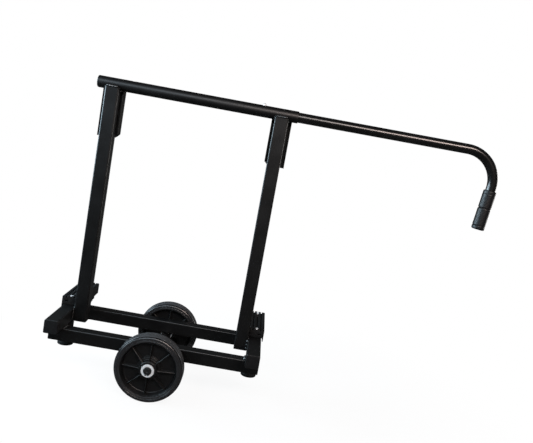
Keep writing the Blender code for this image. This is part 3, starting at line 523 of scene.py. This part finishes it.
finished("weld_beads", joined(*beads), "frame", BEAD_COAT, 0.000001, math.radians(70))


# Push-in end caps of black moulded plastic in the box tubes, and the round plug in the top tube's
# closed end. Each has a softly crowned head with a fine grained face, and a hollow skirt inside.


def moulded(name, colour, roughness, grain, depth, specular):
    """Moulded plastic or rubber: a fine grain in the mould, and faint clouds in the colour."""
    plastic, shader, place = new_finish(name, specular=specular)
    grains = place.noise(grain, 2.0)
    cloud = place.noise(30, 2.0).between(0.35, 0.65)
    feed(shader, "Base Color", cloud.colour([0.85 * c for c in colour], [1.15 * c for c in colour]))
    feed(shader, "Roughness", grains * 0.12 + roughness)
    relief(shader, grains, depth)
    return plastic


CAP_PLASTIC = moulded("cap_plastic", (0.0036, 0.0036, 0.0040), 0.42, 1500, 0.00012, 0.35)
CAP_HEAD = 0.004
CAP_CROWN = 0.0006
CAP_ROUND = 0.0016
CAP_CHAMFER = 0.0006
CAP_SKIRT_WALL = 0.0025


def tube_cap(node, axis, way):
    """An end cap over a node's solid: outlines from the skirt's lip, out round the head, to its middle.

    Each row is the tube's rounded outline shrunk by an inset, at a height over the tube's cut end. On
    the face it shrinks towards the middle by a share, and rises by the crown * (1 - share^2).
    """
    low, high = box_ends(node)
    across, up, along = indices(axis)
    width, height = (high - low)[[across, up]]
    skirt = (high - low)[along] - CAP_HEAD
    inset = TUBE_WALL + FIT_GAP
    hollow = inset + CAP_SKIRT_WALL
    face = CAP_HEAD - CAP_CROWN
    rows = [(hollow, FIT_GAP, 0), (hollow, -skirt, 1)]
    rows += [(inset + CAP_CHAMFER, -skirt, 1), (inset, CAP_CHAMFER - skirt, 1)]
    rows += [(inset, FIT_GAP, 1), (0.0004, FIT_GAP, 1), (0, FIT_GAP + 0.0004, 1)]
    for a in np.linspace(0, 1.45, 6):
        rows.append((CAP_ROUND * (1 - math.cos(a)), face - CAP_ROUND * (1 - math.sin(a)), 1))
    for share in np.linspace(0.96, 0, 9):
        rows.append((CAP_ROUND, face + CAP_CROWN * (1 - share**2), share))
    base = (low + high) / 2
    base[along] = (high[along] - CAP_HEAD) if way > 0 else (low[along] + CAP_HEAD)
    points = []
    for shrink, level, share in rows:
        outline = rounded_outline(width, height, TUBE_CORNER, shrink, 6) * share
        points.append(laid_along(axis, base, outline[:, 0], outline[:, 1], way * level))
    return skin(np.array(points), wrap_rows=False)


for end, way in (("left", -1), ("right", 1)):
    for side, turn in (("near", -1), ("far", 1)):
        name = f"rail_cap_{side}_{end}"
        dressed(name, tube_cap(name, "X", way), "frame", CAP_PLASTIC)
        name = f"cross_cap_{end}_{side}"
        dressed(name, tube_cap(name, "Y", turn), "frame", CAP_PLASTIC)

PLUG_HEAD = 0.003
PLUG_NECK = 0.0152
PLUG_BORE = PLUG_NECK - CAP_SKIRT_WALL
plug_low, plug_high = box_ends("top_tube_plug")
plug_depth = plug_high[0] - plug_low[0] - PLUG_HEAD
plug = [(0, PLUG_HEAD), (TOP_TUBE_RADIUS - 0.001, PLUG_HEAD - 0.0004), (TOP_TUBE_RADIUS, FIT_GAP)]
plug += [(PLUG_NECK, FIT_GAP), (PLUG_NECK, -plug_depth), (PLUG_BORE, -plug_depth)]
plug += [(PLUG_BORE, -CAP_SKIRT_WALL), (0, -CAP_SKIRT_WALL)]
plug = softened(plug, [0, 0.0014, 0.0003, 0.0003, 0.0006, 0.0006, 0.0006, 0], closed=False) * (1, -1)
plug_place = (plug_low[0] + PLUG_HEAD, TOP_TUBE_Y, TOP_TUBE_Z)
dressed("top_tube_plug", turned(plug, "X", plug_place, closed=False), "frame", CAP_PLASTIC)


# The two feet: moulded rubber cups pushed over the legs, a little wider at the sole, which is ringed
# so that it grips.

FOOT_RUBBER = moulded("foot_rubber", (0.0042, 0.0042, 0.0045), 0.60, 900, 0.00018, 0.2)
FOOT_SOLE = 0.006
SOLE_RINGS = (0.019, 0.014, 0.009)


def foot(node):
    """A rubber foot over a node's solid: its cup, wall and ringed sole, as a turned profile."""
    low, high = box_ends(node)
    radius = (high - low)[0] / 2
    height = high[2] - low[2]
    bore = LEG_RADIUS + FIT_GAP
    profile = [(0, FOOT_SOLE), (bore, FOOT_SOLE), (bore, height), (0.0206, height)]
    profile += [(0.0212, height - 0.004), (0.0216, height - 0.0052), (0.0226, 0.011)]
    profile += [(radius - 0.0003, 0.0075), (radius, 0.0045), (radius, 0)]
    for ring in SOLE_RINGS:
        profile += [(ring + 0.001, 0), (ring, 0.0011), (ring - 0.001, 0)]
    profile += [(0, 0)]
    rounding = [0, 0.0006, 0.0005, 0.0008, 0.0004, 0.0004, 0.001, 0.001, 0.001, 0.0016]
    rounding += [0.0003] * 3 * len(SOLE_RINGS) + [0]
    centre = ((low[0] + high[0]) / 2, (low[1] + high[1]) / 2, low[2])
    return turned(softened(profile, rounding, closed=False), "Z", centre, 72, closed=False)


for name in ("foot_left", "foot_right"):
    dressed(name, foot(name), "frame", FOOT_RUBBER)


# The ribbed pads that carry the decks: one extruded rubber section, cut to length, with flat-topped
# ribs, a lip down each side and two slots through it. The base pads are notched round the uprights.


def extruded_rubber(name, stretch):
    """Extruded rubber: fine lines along the extrusion, a dull skin and a dusting of grey.

    The stretch scales the coordinates of the lines, and is small along the extrusion.
    """
    rubber, shader, place = new_finish(name, specular=0.25)
    stretched = place.make("ShaderNodeMapping", None, {"Vector": place, "Scale": stretch})
    lines = stretched.noise(2200, 2.0)
    dust = place.noise(60, 4.0).between(0.45, 0.75)
    feed(shader, "Base Color", dust.colour((0.0040, 0.0040, 0.0042), (0.0070, 0.0070, 0.0073)))
    feed(shader, "Roughness", lines * 0.12 + dust * 0.08 + 0.50)
    relief(shader, lines, 0.00012)
    return rubber


def softened_copy(node, body, finish, width, angle):
    """A node's solid with its flat faces merged, and its edges over that angle rounded by the width."""
    mesh = frame["nodes"][node].data.copy()
    form = bmesh.new()
    form.from_mesh(mesh)
    bmesh.ops.remove_doubles(form, verts=form.verts, dist=0.00001)
    bmesh.ops.dissolve_limit(form, angle_limit=math.radians(1), verts=form.verts, edges=form.edges)
    form.to_mesh(mesh)
    form.free()
    mesh.materials.clear()
    mesh.materials.append(finish)
    piece = bpy.data.objects.new(f"{node}_finished", mesh)
    bpy.context.scene.collection.objects.link(piece)
    edges = piece.modifiers.new("edges", "BEVEL")
    edges.width = width
    edges.segments = 2
    edges.limit_method = "ANGLE"
    edges.angle_limit = math.radians(angle)
    edges.harden_normals = False
    made_final(piece)
    piece.data.shade_smooth()
    piece.data.set_sharp_from_angle(angle=SOFT_ANGLE)
    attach(piece, body)
    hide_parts(node)
    return piece


PAD_EDGE = 0.0009
BASE_PAD_RUBBER = extruded_rubber("base_pad_rubber", (1, 0.02, 1))
TOP_PAD_RUBBER = extruded_rubber("top_pad_rubber", (1, 1, 0.02))
for side in ("left", "right"):
    softened_copy(f"base_pad_{side}", "frame", BASE_PAD_RUBBER, PAD_EDGE, 40)
    softened_copy(f"top_pad_{side}", "frame", TOP_PAD_RUBBER, PAD_EDGE, 40)


# Zinc-plated steel: the pads' pan-head screws with a cross recess, the washers on the axle and the
# wheels' bushes. The plating is bright, with clouds and fine marks.

ZINC, zinc_shader, zinc_place = new_finish("zinc_plate", metallic=0.5)
ZINC_TONE = (0.80, 0.81, 0.82)
zinc_cloud = zinc_place.noise(220, 3.0).between(0.3, 0.7)
zinc_marks = zinc_place.noise(5200, 2.0)
feed(zinc_shader, "Base Color", zinc_cloud.colour([0.88 * c for c in ZINC_TONE], ZINC_TONE))
feed(zinc_shader, "Roughness", zinc_cloud * 0.08 + zinc_marks * 0.1 + 0.34)
relief(zinc_shader, zinc_marks, 0.00004)

RECESS_ARM = 0.0034
RECESS_WIDTH = 0.0011
RECESS_DEPTH = 0.0019
SCREW_HEAD = 0.0045
SHANK_RADIUS = 0.0029
THREAD_PITCH = 0.001
THREAD_DEPTH = 0.0004
CROWN_SHARE = 0.62
CROWN_RINGS = 15


def pan_screw(node, axis):
    """A pan-head screw over a node's solid: head, shank with a thread, and a cross in the head.

    Over the cross, points of the head's crown within half a width of either arm sink by the recess
    depth, less towards the arm's end.
    """
    low, high = box_ends(node)
    along = "XYZ".index(axis)
    head = (high - low)[(along + 1) % 3] / 2
    tip = low[along] - high[along]
    ring = np.linspace(0, 1, CROWN_RINGS)
    crown = np.stack((head * CROWN_SHARE * ring, -0.0004 * ring**2), axis=1)
    fall = np.linspace(0, 1.5, 7)[1:]
    edge = head * (CROWN_SHARE + (1 - CROWN_SHARE) * np.sin(fall))
    side = np.stack((edge, -0.0004 - 0.0032 * (1 - np.cos(fall))), axis=1)
    under = [(head, 0.0004 - SCREW_HEAD), (head - 0.0004, -SCREW_HEAD)]
    level = np.linspace(-SCREW_HEAD, tip + 0.0015, 60)
    groove = THREAD_DEPTH * (0.5 + 0.5 * np.cos(level / THREAD_PITCH * 2 * math.pi))
    thread = np.stack((SHANK_RADIUS - groove, level), axis=1)
    profile = np.vstack((crown, side, under, thread, [(SHANK_RADIUS * 0.7, tip), (0, tip)]))
    angle = np.arange(48) * math.pi / 24
    across = profile[:, :1] * np.cos(angle)
    up = profile[:, :1] * np.sin(angle)
    slim = np.minimum(np.abs(across), np.abs(up))
    far = np.maximum(np.abs(across), np.abs(up))
    sunk = (slim < RECESS_WIDTH / 2 + 0.0002) & (far < RECESS_ARM)
    sunk[CROWN_RINGS:] = False
    level = profile[:, 1:] - sunk * RECESS_DEPTH * (1 - 0.5 * far / RECESS_ARM)
    centre = (low + high) / 2
    centre[along] = high[along]
    return skin(laid_along(axis, centre, across, up, level), wrap_rows=False)


for end in ("left", "right"):
    for side in ("near", "far"):
        name = f"base_screw_{end}_{side}"
        dressed(name, pan_screw(name, "Z"), "frame", ZINC)
    for side in ("upper", "lower"):
        name = f"top_screw_{end}_{side}"
        dressed(name, pan_screw(name, "Y"), "frame", ZINC)
for side in ("near", "far"):
    for face in ("inner", "outer"):
        name = f"washer_{side}_{face}"
        dressed(name, round_tube(name, "Y", AXLE_BORE_RADIUS, edge=0.0005), "frame", ZINC)
    name = f"hub_bush_{side}"
    bush = round_tube(name, "Y", AXLE_BORE_RADIUS, edge=0.0004)
    dressed(name, bush, f"wheel_{side}", ZINC)


# The axle: a blackened steel bar, dimpled in its ends and grooved near each for an open retaining
# ring with two eyed lugs.

BLACK_STEEL, steel_shader, steel_place = new_finish("black_steel", specular=0.6)
steel_marks = steel_place.noise(900, 3.0)
steel_cloud = steel_marks.between(0.3, 0.7)
feed(steel_shader, "Base Color", steel_cloud.colour((0.005, 0.005, 0.0052), (0.009, 0.0088, 0.0085)))
feed(steel_shader, "Roughness", steel_marks * 0.15 + 0.30)
relief(steel_shader, steel_marks, 0.00006)
AXLE_RADIUS = 0.010
AXLE_GROOVE_RADIUS = 0.0092
DIMPLE = 0.0012
axle_low, axle_high = box_ends("axle")
axle_half = (axle_high[1] - axle_low[1]) / 2
ring_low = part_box("retaining_ring_far")[0][1] - FIT_GAP
ring_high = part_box("retaining_ring_far")[1][1] + FIT_GAP
axle = [(0, axle_half - DIMPLE), (DIMPLE, axle_half - DIMPLE), (2 * DIMPLE, axle_half)]
axle += [(AXLE_RADIUS, axle_half), (AXLE_RADIUS, ring_high), (AXLE_GROOVE_RADIUS, ring_high)]
axle += [(AXLE_GROOVE_RADIUS, ring_low), (AXLE_RADIUS, ring_low)]
axle += [(radius, -along) for radius, along in reversed(axle)]
axle_rounding = [0, 0.0002, 0.0002, 0.001, 0.0001, 0.0001, 0.0001, 0.0001]
axle = softened(axle, axle_rounding + axle_rounding[::-1], closed=False)
axle = turned(axle, "Y", node_middle("axle"), 72, closed=False)
dressed("axle", axle, "frame", BLACK_STEEL)
for name in ("retaining_ring_near", "retaining_ring_far"):
    softened_copy(name, "frame", BLACK_STEEL, 0.0002, 50)


# The wheels: a black moulded rim with a thin web, eight ribs on each face and a deep band, and a
# solid rubber tyre with a groove in the middle of its tread, a narrow one round each shoulder and
# fine moulded lines on its walls. The tread is a lighter grey than the walls, in clouds.

TYRE_RADIUS = 0.100
TYRE_HALF = 0.023
SHOULDER = 0.010
SHOULDER_GROOVE = 0.005
TREAD_GROOVE = 0.003
TYRE_RUBBER, tyre_shader, tyre_place = new_finish("tyre_rubber")
tyre_cloud = tyre_place.noise(45, 4.0).between(0.35, 0.7)
tyre_grain = tyre_place.noise(1400, 2.0)
from_hub = tyre_place.vector("SUBTRACT", tuple(node_middle("tyre_near")))
hub_distance = from_hub.vector("MULTIPLY", (1, 0, 1)).length()
tread = hub_distance.between(TYRE_RADIUS - 0.0022, TYRE_RADIUS - 0.0008)
# The tyre's crown, all the way round, is coloured a lighter grey than its walls, in clouds.
lighter_tread = tread * (tyre_cloud * 0.4 + 0.6)
feed(tyre_shader, "Base Color", lighter_tread.colour((0.0110, 0.0110, 0.0117), (0.0480, 0.0500, 0.0530)))
inner_wall = 1 - hub_distance.between(0.084, 0.090)
feed(tyre_shader, "Roughness", inner_wall * 0.14 + tyre_grain * 0.06 + 0.23)
relief(tyre_shader, tyre_grain, 0.00004)

RIM_PLASTIC = moulded("rim_plastic", (0.0032, 0.0032, 0.0034), 0.33, 700, 0.00006, 0.5)
SEAT_RADIUS = 0.0798
FLANGE_RADIUS = 0.0818
RIM_HALF = 0.020
HUB_RADIUS = 0.0136
HUB_HALF = 0.025


def mirrored_section(half, rounding):
    """A closed section from one half of it, which starts and ends in the middle plane, softened."""
    half = np.array(half)
    whole = np.vstack((half, half[-2:0:-1] * (1, -1)))
    return softened(whole, rounding + rounding[-2:0:-1])


def tyre():
    """The tyre's closed section, (radius, along): seat, bead, wall, shoulder and crown.

    The shoulder is a quarter circle of radius R, its points the centre + R (cos a, sin a), with one
    V-shaped groove sunk into it. The wall has two moulded lines, and the crown a groove in its middle.
    """
    wall = [(SEAT_RADIUS, 0.0), (SEAT_RADIUS, 0.0167), (FLANGE_RADIUS, 0.0167), (FLANGE_RADIUS, 0.0206)]
    wall += [(0.0824, 0.0217), (0.0836, 0.0221), (0.0858, 0.0223), (0.0863, 0.0219), (0.0868, 0.0226)]
    wall += [(0.0882, 0.0229), (0.0888, 0.0225), (0.0893, 0.0230)]
    turn = np.radians([84, 75, 66, 57, 48, 38, 29, 20, 10, 0])
    reach = SHOULDER - SHOULDER_GROOVE * (np.arange(10) == 5)
    centre = (TYRE_RADIUS - SHOULDER, TYRE_HALF - SHOULDER)
    shoulder = np.stack((centre[0] + reach * np.cos(turn), centre[1] + reach * np.sin(turn)), axis=1)
    crown = [(TYRE_RADIUS, 0.0020), (TYRE_RADIUS - TREAD_GROOVE, 0.0016), (TYRE_RADIUS - TREAD_GROOVE, 0.0)]
    rounding = [0, 0.0003, 0.0003, 0.0005, 0.0008, 0.0008, 0.0003, 0.0002, 0.0003, 0.0003, 0.0002, 0.0003]
    rounding += [0.001, 0.001, 0.001, 0.001, 0.0003, 0.0002, 0.0003, 0.001, 0.001, 0.001]
    rounding += [0.0004, 0.0002, 0]
    return mirrored_section(wall + shoulder.tolist() + crown, rounding)


def rim():
    """The rim's closed section: bore, hub, collar, web, band and the tyre's seat."""
    half = [(HUB_RADIUS, 0.0), (HUB_RADIUS, HUB_HALF), (0.0248, HUB_HALF), (0.0262, 0.0236)]
    half += [(0.0272, 0.0102), (0.0346, 0.0090), (0.0352, 0.0027), (0.0752, 0.0025), (0.0786, 0.0172)]
    half += [(0.0800, 0.0192), (0.0805, RIM_HALF), (0.0811, RIM_HALF), (0.0815, 0.0193)]
    half += [(0.0815, 0.0170), (0.0795, 0.0170), (0.0795, 0.0)]
    rounding = [0, 0.0006, 0.0008, 0.0008, 0.0015, 0.0008, 0.0012, 0.0024, 0.0012, 0.0008]
    rounding += [0.0002, 0.0002, 0.0003, 0.0003, 0.0004, 0]
    return mirrored_section(half, rounding)


RIB_COUNT = 8
RIB_HALF = 0.0019
RIB_FOOT = 0.001


def ribs(centre, way):
    """The ribs of one face: each a thin wall from hub to band, its top sloping down and kinked.

    Rows go along the rib, and columns go over it: foot, side, round crest and down again. The crest's
    height over the web follows straight lines between hub, kink and band, less the fall of a circle.
    """
    out = np.linspace(0.0255, 0.0768, 24)[:, None]
    kinks = (0.0255, 0.0300, 0.0590, 0.0680, 0.0768)
    crest = np.interp(out, kinks, (0.0212, 0.0202, 0.0160, 0.0140, 0.0134))
    over = np.radians(np.linspace(-90, 90, 9))
    side = np.concatenate(([-1.3], np.sin(over), [1.3])) * RIB_HALF
    level = crest - np.concatenate(([0], RIB_HALF * (1 - np.cos(over)), [0]))
    level[:, [0, -1]] = RIB_FOOT
    pieces = []
    for index in range(RIB_COUNT):
        angle = 2 * math.pi * index / RIB_COUNT
        across = out * math.cos(angle) - side * math.sin(angle)
        up = out * math.sin(angle) + side * math.cos(angle)
        grid = laid_along("Y", centre, across, up, way * level)
        ends = [np.broadcast_to(row.mean(axis=0), row.shape)[None] for row in (grid[0], grid[-1])]
        pieces.append(skin(np.concatenate((ends[0], grid, ends[1])), wrap_rows=False))
    return pieces


for side in ("near", "far"):
    hub = node_middle(f"rim_{side}")
    dressed(f"tyre_{side}", turned(tyre(), "Y", hub, 144), f"wheel_{side}", TYRE_RUBBER)
    parts = [turned(rim(), "Y", hub, 144), *ribs(hub, -1), *ribs(hub, 1)]
    dressed(f"rim_{side}", joined(*parts), f"wheel_{side}", RIM_PLASTIC, merge=0.000005)


# The handle: a drawn steel tube bent once at its outer end, in a smoother and glossier black than the
# frame, because it slides in the top tube. Its grip is a moulded rubber sleeve with rings.

HANDLE_DARK = (0.0018, 0.0018, 0.0018)
HANDLE_LIGHT = (0.0028, 0.0028, 0.0028)
HANDLE_COAT = powder_coat("handle_coat", HANDLE_DARK, HANDLE_LIGHT, 0.19, 0.000003, 0.74)
HANDLE_RADIUS = 0.015
STRAIGHT = 0.6455
BEND_RADIUS = 0.094
BEND_ANGLE = math.radians(95.6)
BEND_LENGTH = BEND_RADIUS * BEND_ANGLE
TAIL_LENGTH = 0.1232
handle_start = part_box("handle_tube")[0][0]


def handle_line(length):
    """The centre line at a length from the inner end, and its direction's angle below +X.

    Straight to the bend, then round it at that radius, then straight again.
    """
    angle = np.clip((length - STRAIGHT) / BEND_LENGTH, 0, 1) * BEND_ANGLE
    first = np.minimum(length, STRAIGHT)
    last = np.maximum(length - STRAIGHT - BEND_LENGTH, 0)
    x = handle_start + first + BEND_RADIUS * np.sin(angle) + last * np.cos(angle)
    z = TOP_TUBE_Z - BEND_RADIUS * (1 - np.cos(angle)) - last * np.sin(angle)
    return x, z, angle


def swept(length, radius, sides):
    """Rings about the handle's line: the ring's points are radius * (cos a * inward + sin a * Y)."""
    x, z, angle = (value[:, None] for value in handle_line(length))
    turn = (np.arange(sides) * 2 * math.pi / sides)[None]
    radius = radius[:, None]
    across = radius * np.cos(turn)
    points = (x + across * np.sin(angle), TOP_TUBE_Y + radius * np.sin(turn), z + across * np.cos(angle))
    return np.stack(points, axis=-1)


handle_length = STRAIGHT + BEND_LENGTH + TAIL_LENGTH
stations = np.concatenate(
    (
        [0, CUT_EDGE],
        np.linspace(0.01, STRAIGHT, 24),
        np.linspace(STRAIGHT, STRAIGHT + BEND_LENGTH, 49)[1:],
        np.linspace(STRAIGHT + BEND_LENGTH, handle_length - CUT_EDGE, 5)[1:],
        [handle_length],
    )
)
outer_radius = np.full(len(stations), HANDLE_RADIUS)
outer_radius[[0, -1]] -= CUT_EDGE
outer = swept(stations, outer_radius, 64)
inner = swept(stations[::-1], np.full(len(stations), HANDLE_RADIUS - TUBE_WALL), 64)
handle = skin(np.concatenate((outer, inner)))
handle = dressed("handle_tube", handle, "handle", HANDLE_COAT)
bored(handle, [(BUTTON_X, TOP_TUBE_Y, TOP_TUBE_Z + HANDLE_RADIUS)], 0.014)

GRIP_RUBBER = moulded("grip_rubber", (0.0046, 0.0047, 0.0052), 0.34, 1100, 0.00002, 0.42)
GRIP_RADIUS = 0.01925
GRIP_LENGTH = 0.1205
GRIP_COLLAR = 0.0032
GRIP_CROWN = 0.0045
GRIP_FLOOR = 0.004
BEND_TO_GRIP = 0.007
grip_start = STRAIGHT + BEND_LENGTH + BEND_TO_GRIP


def grip():
    """The grip as rings along the handle's line: rounded collar, rings, grooves and closed end.

    The radius at a length s is the sleeve's, less a groove's depth * exp(-((s - place) / width)^2)
    for each groove, and falls in a quarter circle at the collar and at the closed end.
    """
    main = np.linspace(0.0045, GRIP_LENGTH - 0.006, 260)
    last = np.linspace(GRIP_LENGTH - 0.0055, GRIP_LENGTH, 16)
    s = np.concatenate((np.linspace(0, 0.004, 9), main, last))
    grooves = [(0.0115, 0.0005, 0.0009), (0.0545, 0.0019, 0.0017), (0.1085, 0.0010, 0.0011)]
    rings = np.concatenate((np.arange(0.018, 0.050, 0.0042), np.arange(0.062, 0.104, 0.0042)))
    grooves += [(place, 0.00014, 0.0009) for place in rings]
    radius = np.full(len(s), GRIP_RADIUS)
    for place, depth, width in grooves:
        radius = radius - depth * np.exp(-(((s - place) / width) ** 2))
    into_collar = (1 - s / GRIP_COLLAR).clip(0)
    radius = radius - GRIP_COLLAR * (1 - np.sqrt(1 - into_collar**2))
    into_crown = 1 - ((GRIP_LENGTH - s) / GRIP_CROWN).clip(0, 1)
    radius = radius - GRIP_CROWN * (1 - np.sqrt(1 - into_crown**2))
    bore = HANDLE_RADIUS + FIT_GAP
    inside = GRIP_LENGTH - GRIP_FLOOR
    lengths = np.concatenate(([inside, inside, FIT_GAP], s, [GRIP_LENGTH]))
    radius = np.concatenate(([0, bore, bore], radius, [0]))
    return skin(swept(grip_start + lengths, radius, 72), wrap_rows=False)


dressed("handle_grip", grip(), "handle", GRIP_RUBBER)


# The snap button, a domed steel pin with a flange, and the V-shaped leaf spring that pushes it out
# from inside. The spring closes as the button is pressed, but it is drawn here in one fixed shape.

BUTTON_RADIUS = 0.005
BUTTON_FLANGE = 0.0012
button_low, button_high = box_ends("snap_button")
flange_radius = (button_high[0] - button_low[0]) / 2
flange_top = button_low[2] + BUTTON_FLANGE
button = []
for a in np.linspace(0, 1.4, 12):
    button.append((BUTTON_RADIUS * math.sin(a), button_high[2] - BUTTON_RADIUS * (1 - math.cos(a))))
button += [(BUTTON_RADIUS, flange_top), (flange_radius, flange_top)]
button += [(flange_radius, button_low[2]), (0, button_low[2])]
button = turned(button, "Z", (BUTTON_X, TOP_TUBE_Y, 0), 48, closed=False)
dressed("snap_button", button, "button", ZINC)
clip = softened_copy("clip_spring", "handle", ZINC, 0.0002, 40)
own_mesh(clip)


# The studio: a white floor and surroundings, three soft lights in front and above, a cool one from
# the left, and two weaker ones behind. Glossy surfaces see the room dimmed, because the photo's black
# paint mirrors next to none of the white round it.

FLOOR_HALF = 12.0
FLOOR_SHADE = 0.10
ROOM_MIRRORED = 0.05
ROOM_LIGHT = 0.35
corners = [(-FLOOR_HALF, -FLOOR_HALF, 0), (FLOOR_HALF, -FLOOR_HALF, 0)]
corners += [(FLOOR_HALF, FLOOR_HALF, 0), (-FLOOR_HALF, FLOOR_HALF, 0)]
floor_mesh = bpy.data.meshes.new("floor")
floor_mesh.from_pydata(corners, [], [(0, 1, 2, 3)])
floor = bpy.data.objects.new("floor", floor_mesh)
bpy.context.scene.collection.objects.link(floor)
paper = bpy.data.materials.new("floor_paper")
paper.use_nodes = True
paper_shader = paper.node_tree.nodes["Principled BSDF"]
paper_shader.inputs["Base Color"].default_value = (0.8, 0.8, 0.8, 1)
paper_shader.inputs["Roughness"].default_value = 0.9
paper_shader.inputs["Specular IOR Level"].default_value = 0.0
sheet = Socket(paper.node_tree)
away = sheet.make("ShaderNodeTexCoord", output=3).length()
seen = sheet.make("ShaderNodeLightPath")
mirrored = seen.beside("Is Glossy Ray")
through = seen.beside("Is Transmission Ray")
shaded = 1 - away.between(0.45, 0.95)
tone = mirrored.colour((1, 1, 1), (ROOM_MIRRORED,) * 3)
glow = sheet.make("ShaderNodeEmission", None, {"Color": tone, "Strength": 1.0})
plain = Socket(paper.node_tree, paper_shader.outputs["BSDF"])
lit = (seen + through) * (1 - shaded * FLOOR_SHADE) + mirrored
lit_paper = sheet.make("ShaderNodeMixShader", None, {0: lit, 1: plain, 2: glow})
paper.node_tree.links.new(lit_paper.link, paper.node_tree.nodes["Material Output"].inputs["Surface"])
floor_mesh.materials.append(paper)

world = bpy.data.worlds.new("studio")
bpy.context.scene.world = world
world.use_nodes = True
sky = Socket(world.node_tree)
ray = sky.make("ShaderNodeLightPath")
glossy = ray.beside("Is Glossy Ray")
seen_level = ray + ray.beside("Is Transmission Ray")
level = seen_level + glossy * ROOM_MIRRORED + (1 - seen_level - glossy) * ROOM_LIGHT
room = sky.make("ShaderNodeBackground", None, {"Color": (1, 1, 1, 1), "Strength": level})
world.node_tree.links.new(room.link, world.node_tree.nodes["World Output"].inputs["Surface"])


def soft_light(name, place, target, width, height, radiance, colour):
    """An area light at a place, turned to a target, as bright to look at as the radiance says."""
    lamp = bpy.data.lights.new(name, "AREA")
    lamp.shape = "RECTANGLE"
    lamp.size = width
    lamp.size_y = height
    lamp.energy = radiance * math.pi * width * height
    lamp.color = colour
    light = bpy.data.objects.new(name, lamp)
    light.location = place
    light.rotation_euler = (Vector(place) - Vector(target)).to_track_quat("Z", "Y").to_euler()
    bpy.context.scene.collection.objects.link(light)


soft_light("front_right", (1.15, -2.35, 2.12), (0.5, 0, 0.8), 1.1, 0.55, 24, (1.0, 0.82, 0.75))
soft_light("front_middle", (0.1, -2.35, 2.15), (0.0, 0, 0.75), 1.0, 0.6, 9, (1.0, 0.92, 0.88))
soft_light("front_left", (-1.35, -2.35, 2.15), (-0.5, 0, 0.75), 1.9, 0.6, 9.5, (0.74, 0.88, 1.0))
soft_light("left", (-2.2, -0.2, 1.0), (-0.3, 0, 0.6), 1.9, 1.1, 10, (0.66, 0.86, 1.0))
soft_light("back_right", (2.7, 1.6, 0.8), (0.1, 0, 0.5), 1.6, 1.2, 4.5, (1.0, 0.97, 0.94))
soft_light("back_left", (-2.4, 1.0, 1.2), (-0.3, 0, 0.3), 1.3, 1.0, 8, (0.70, 0.88, 1.0))


# The camera: in front of the cart, a little above its middle, looking down, with the cart tipped
# towards its handle in the picture.

CAMERA_PLACE = (-0.08115, -1.83741, 0.81687)
PITCH = math.radians(8.152)
YAW = math.radians(-0.255)
TILT = math.radians(10.285)
FOCAL = 40.924
lens = bpy.data.cameras.new("camera")
lens.lens = FOCAL
lens.sensor_width = 36
lens.clip_end = 100
camera = bpy.data.objects.new("camera", lens)
looking = Matrix.Rotation(math.pi / 2 - PITCH, 4, "X")
looking = Matrix.Rotation(-TILT, 4, "Y") @ Matrix.Rotation(-YAW, 4, "Z") @ looking
camera.matrix_world = Matrix.Translation(CAMERA_PLACE) @ looking
bpy.context.scene.collection.objects.link(camera)
bpy.context.scene.camera = camera
bpy.context.scene.view_settings.view_transform = "Standard"

bpy.context.view_layer.update()
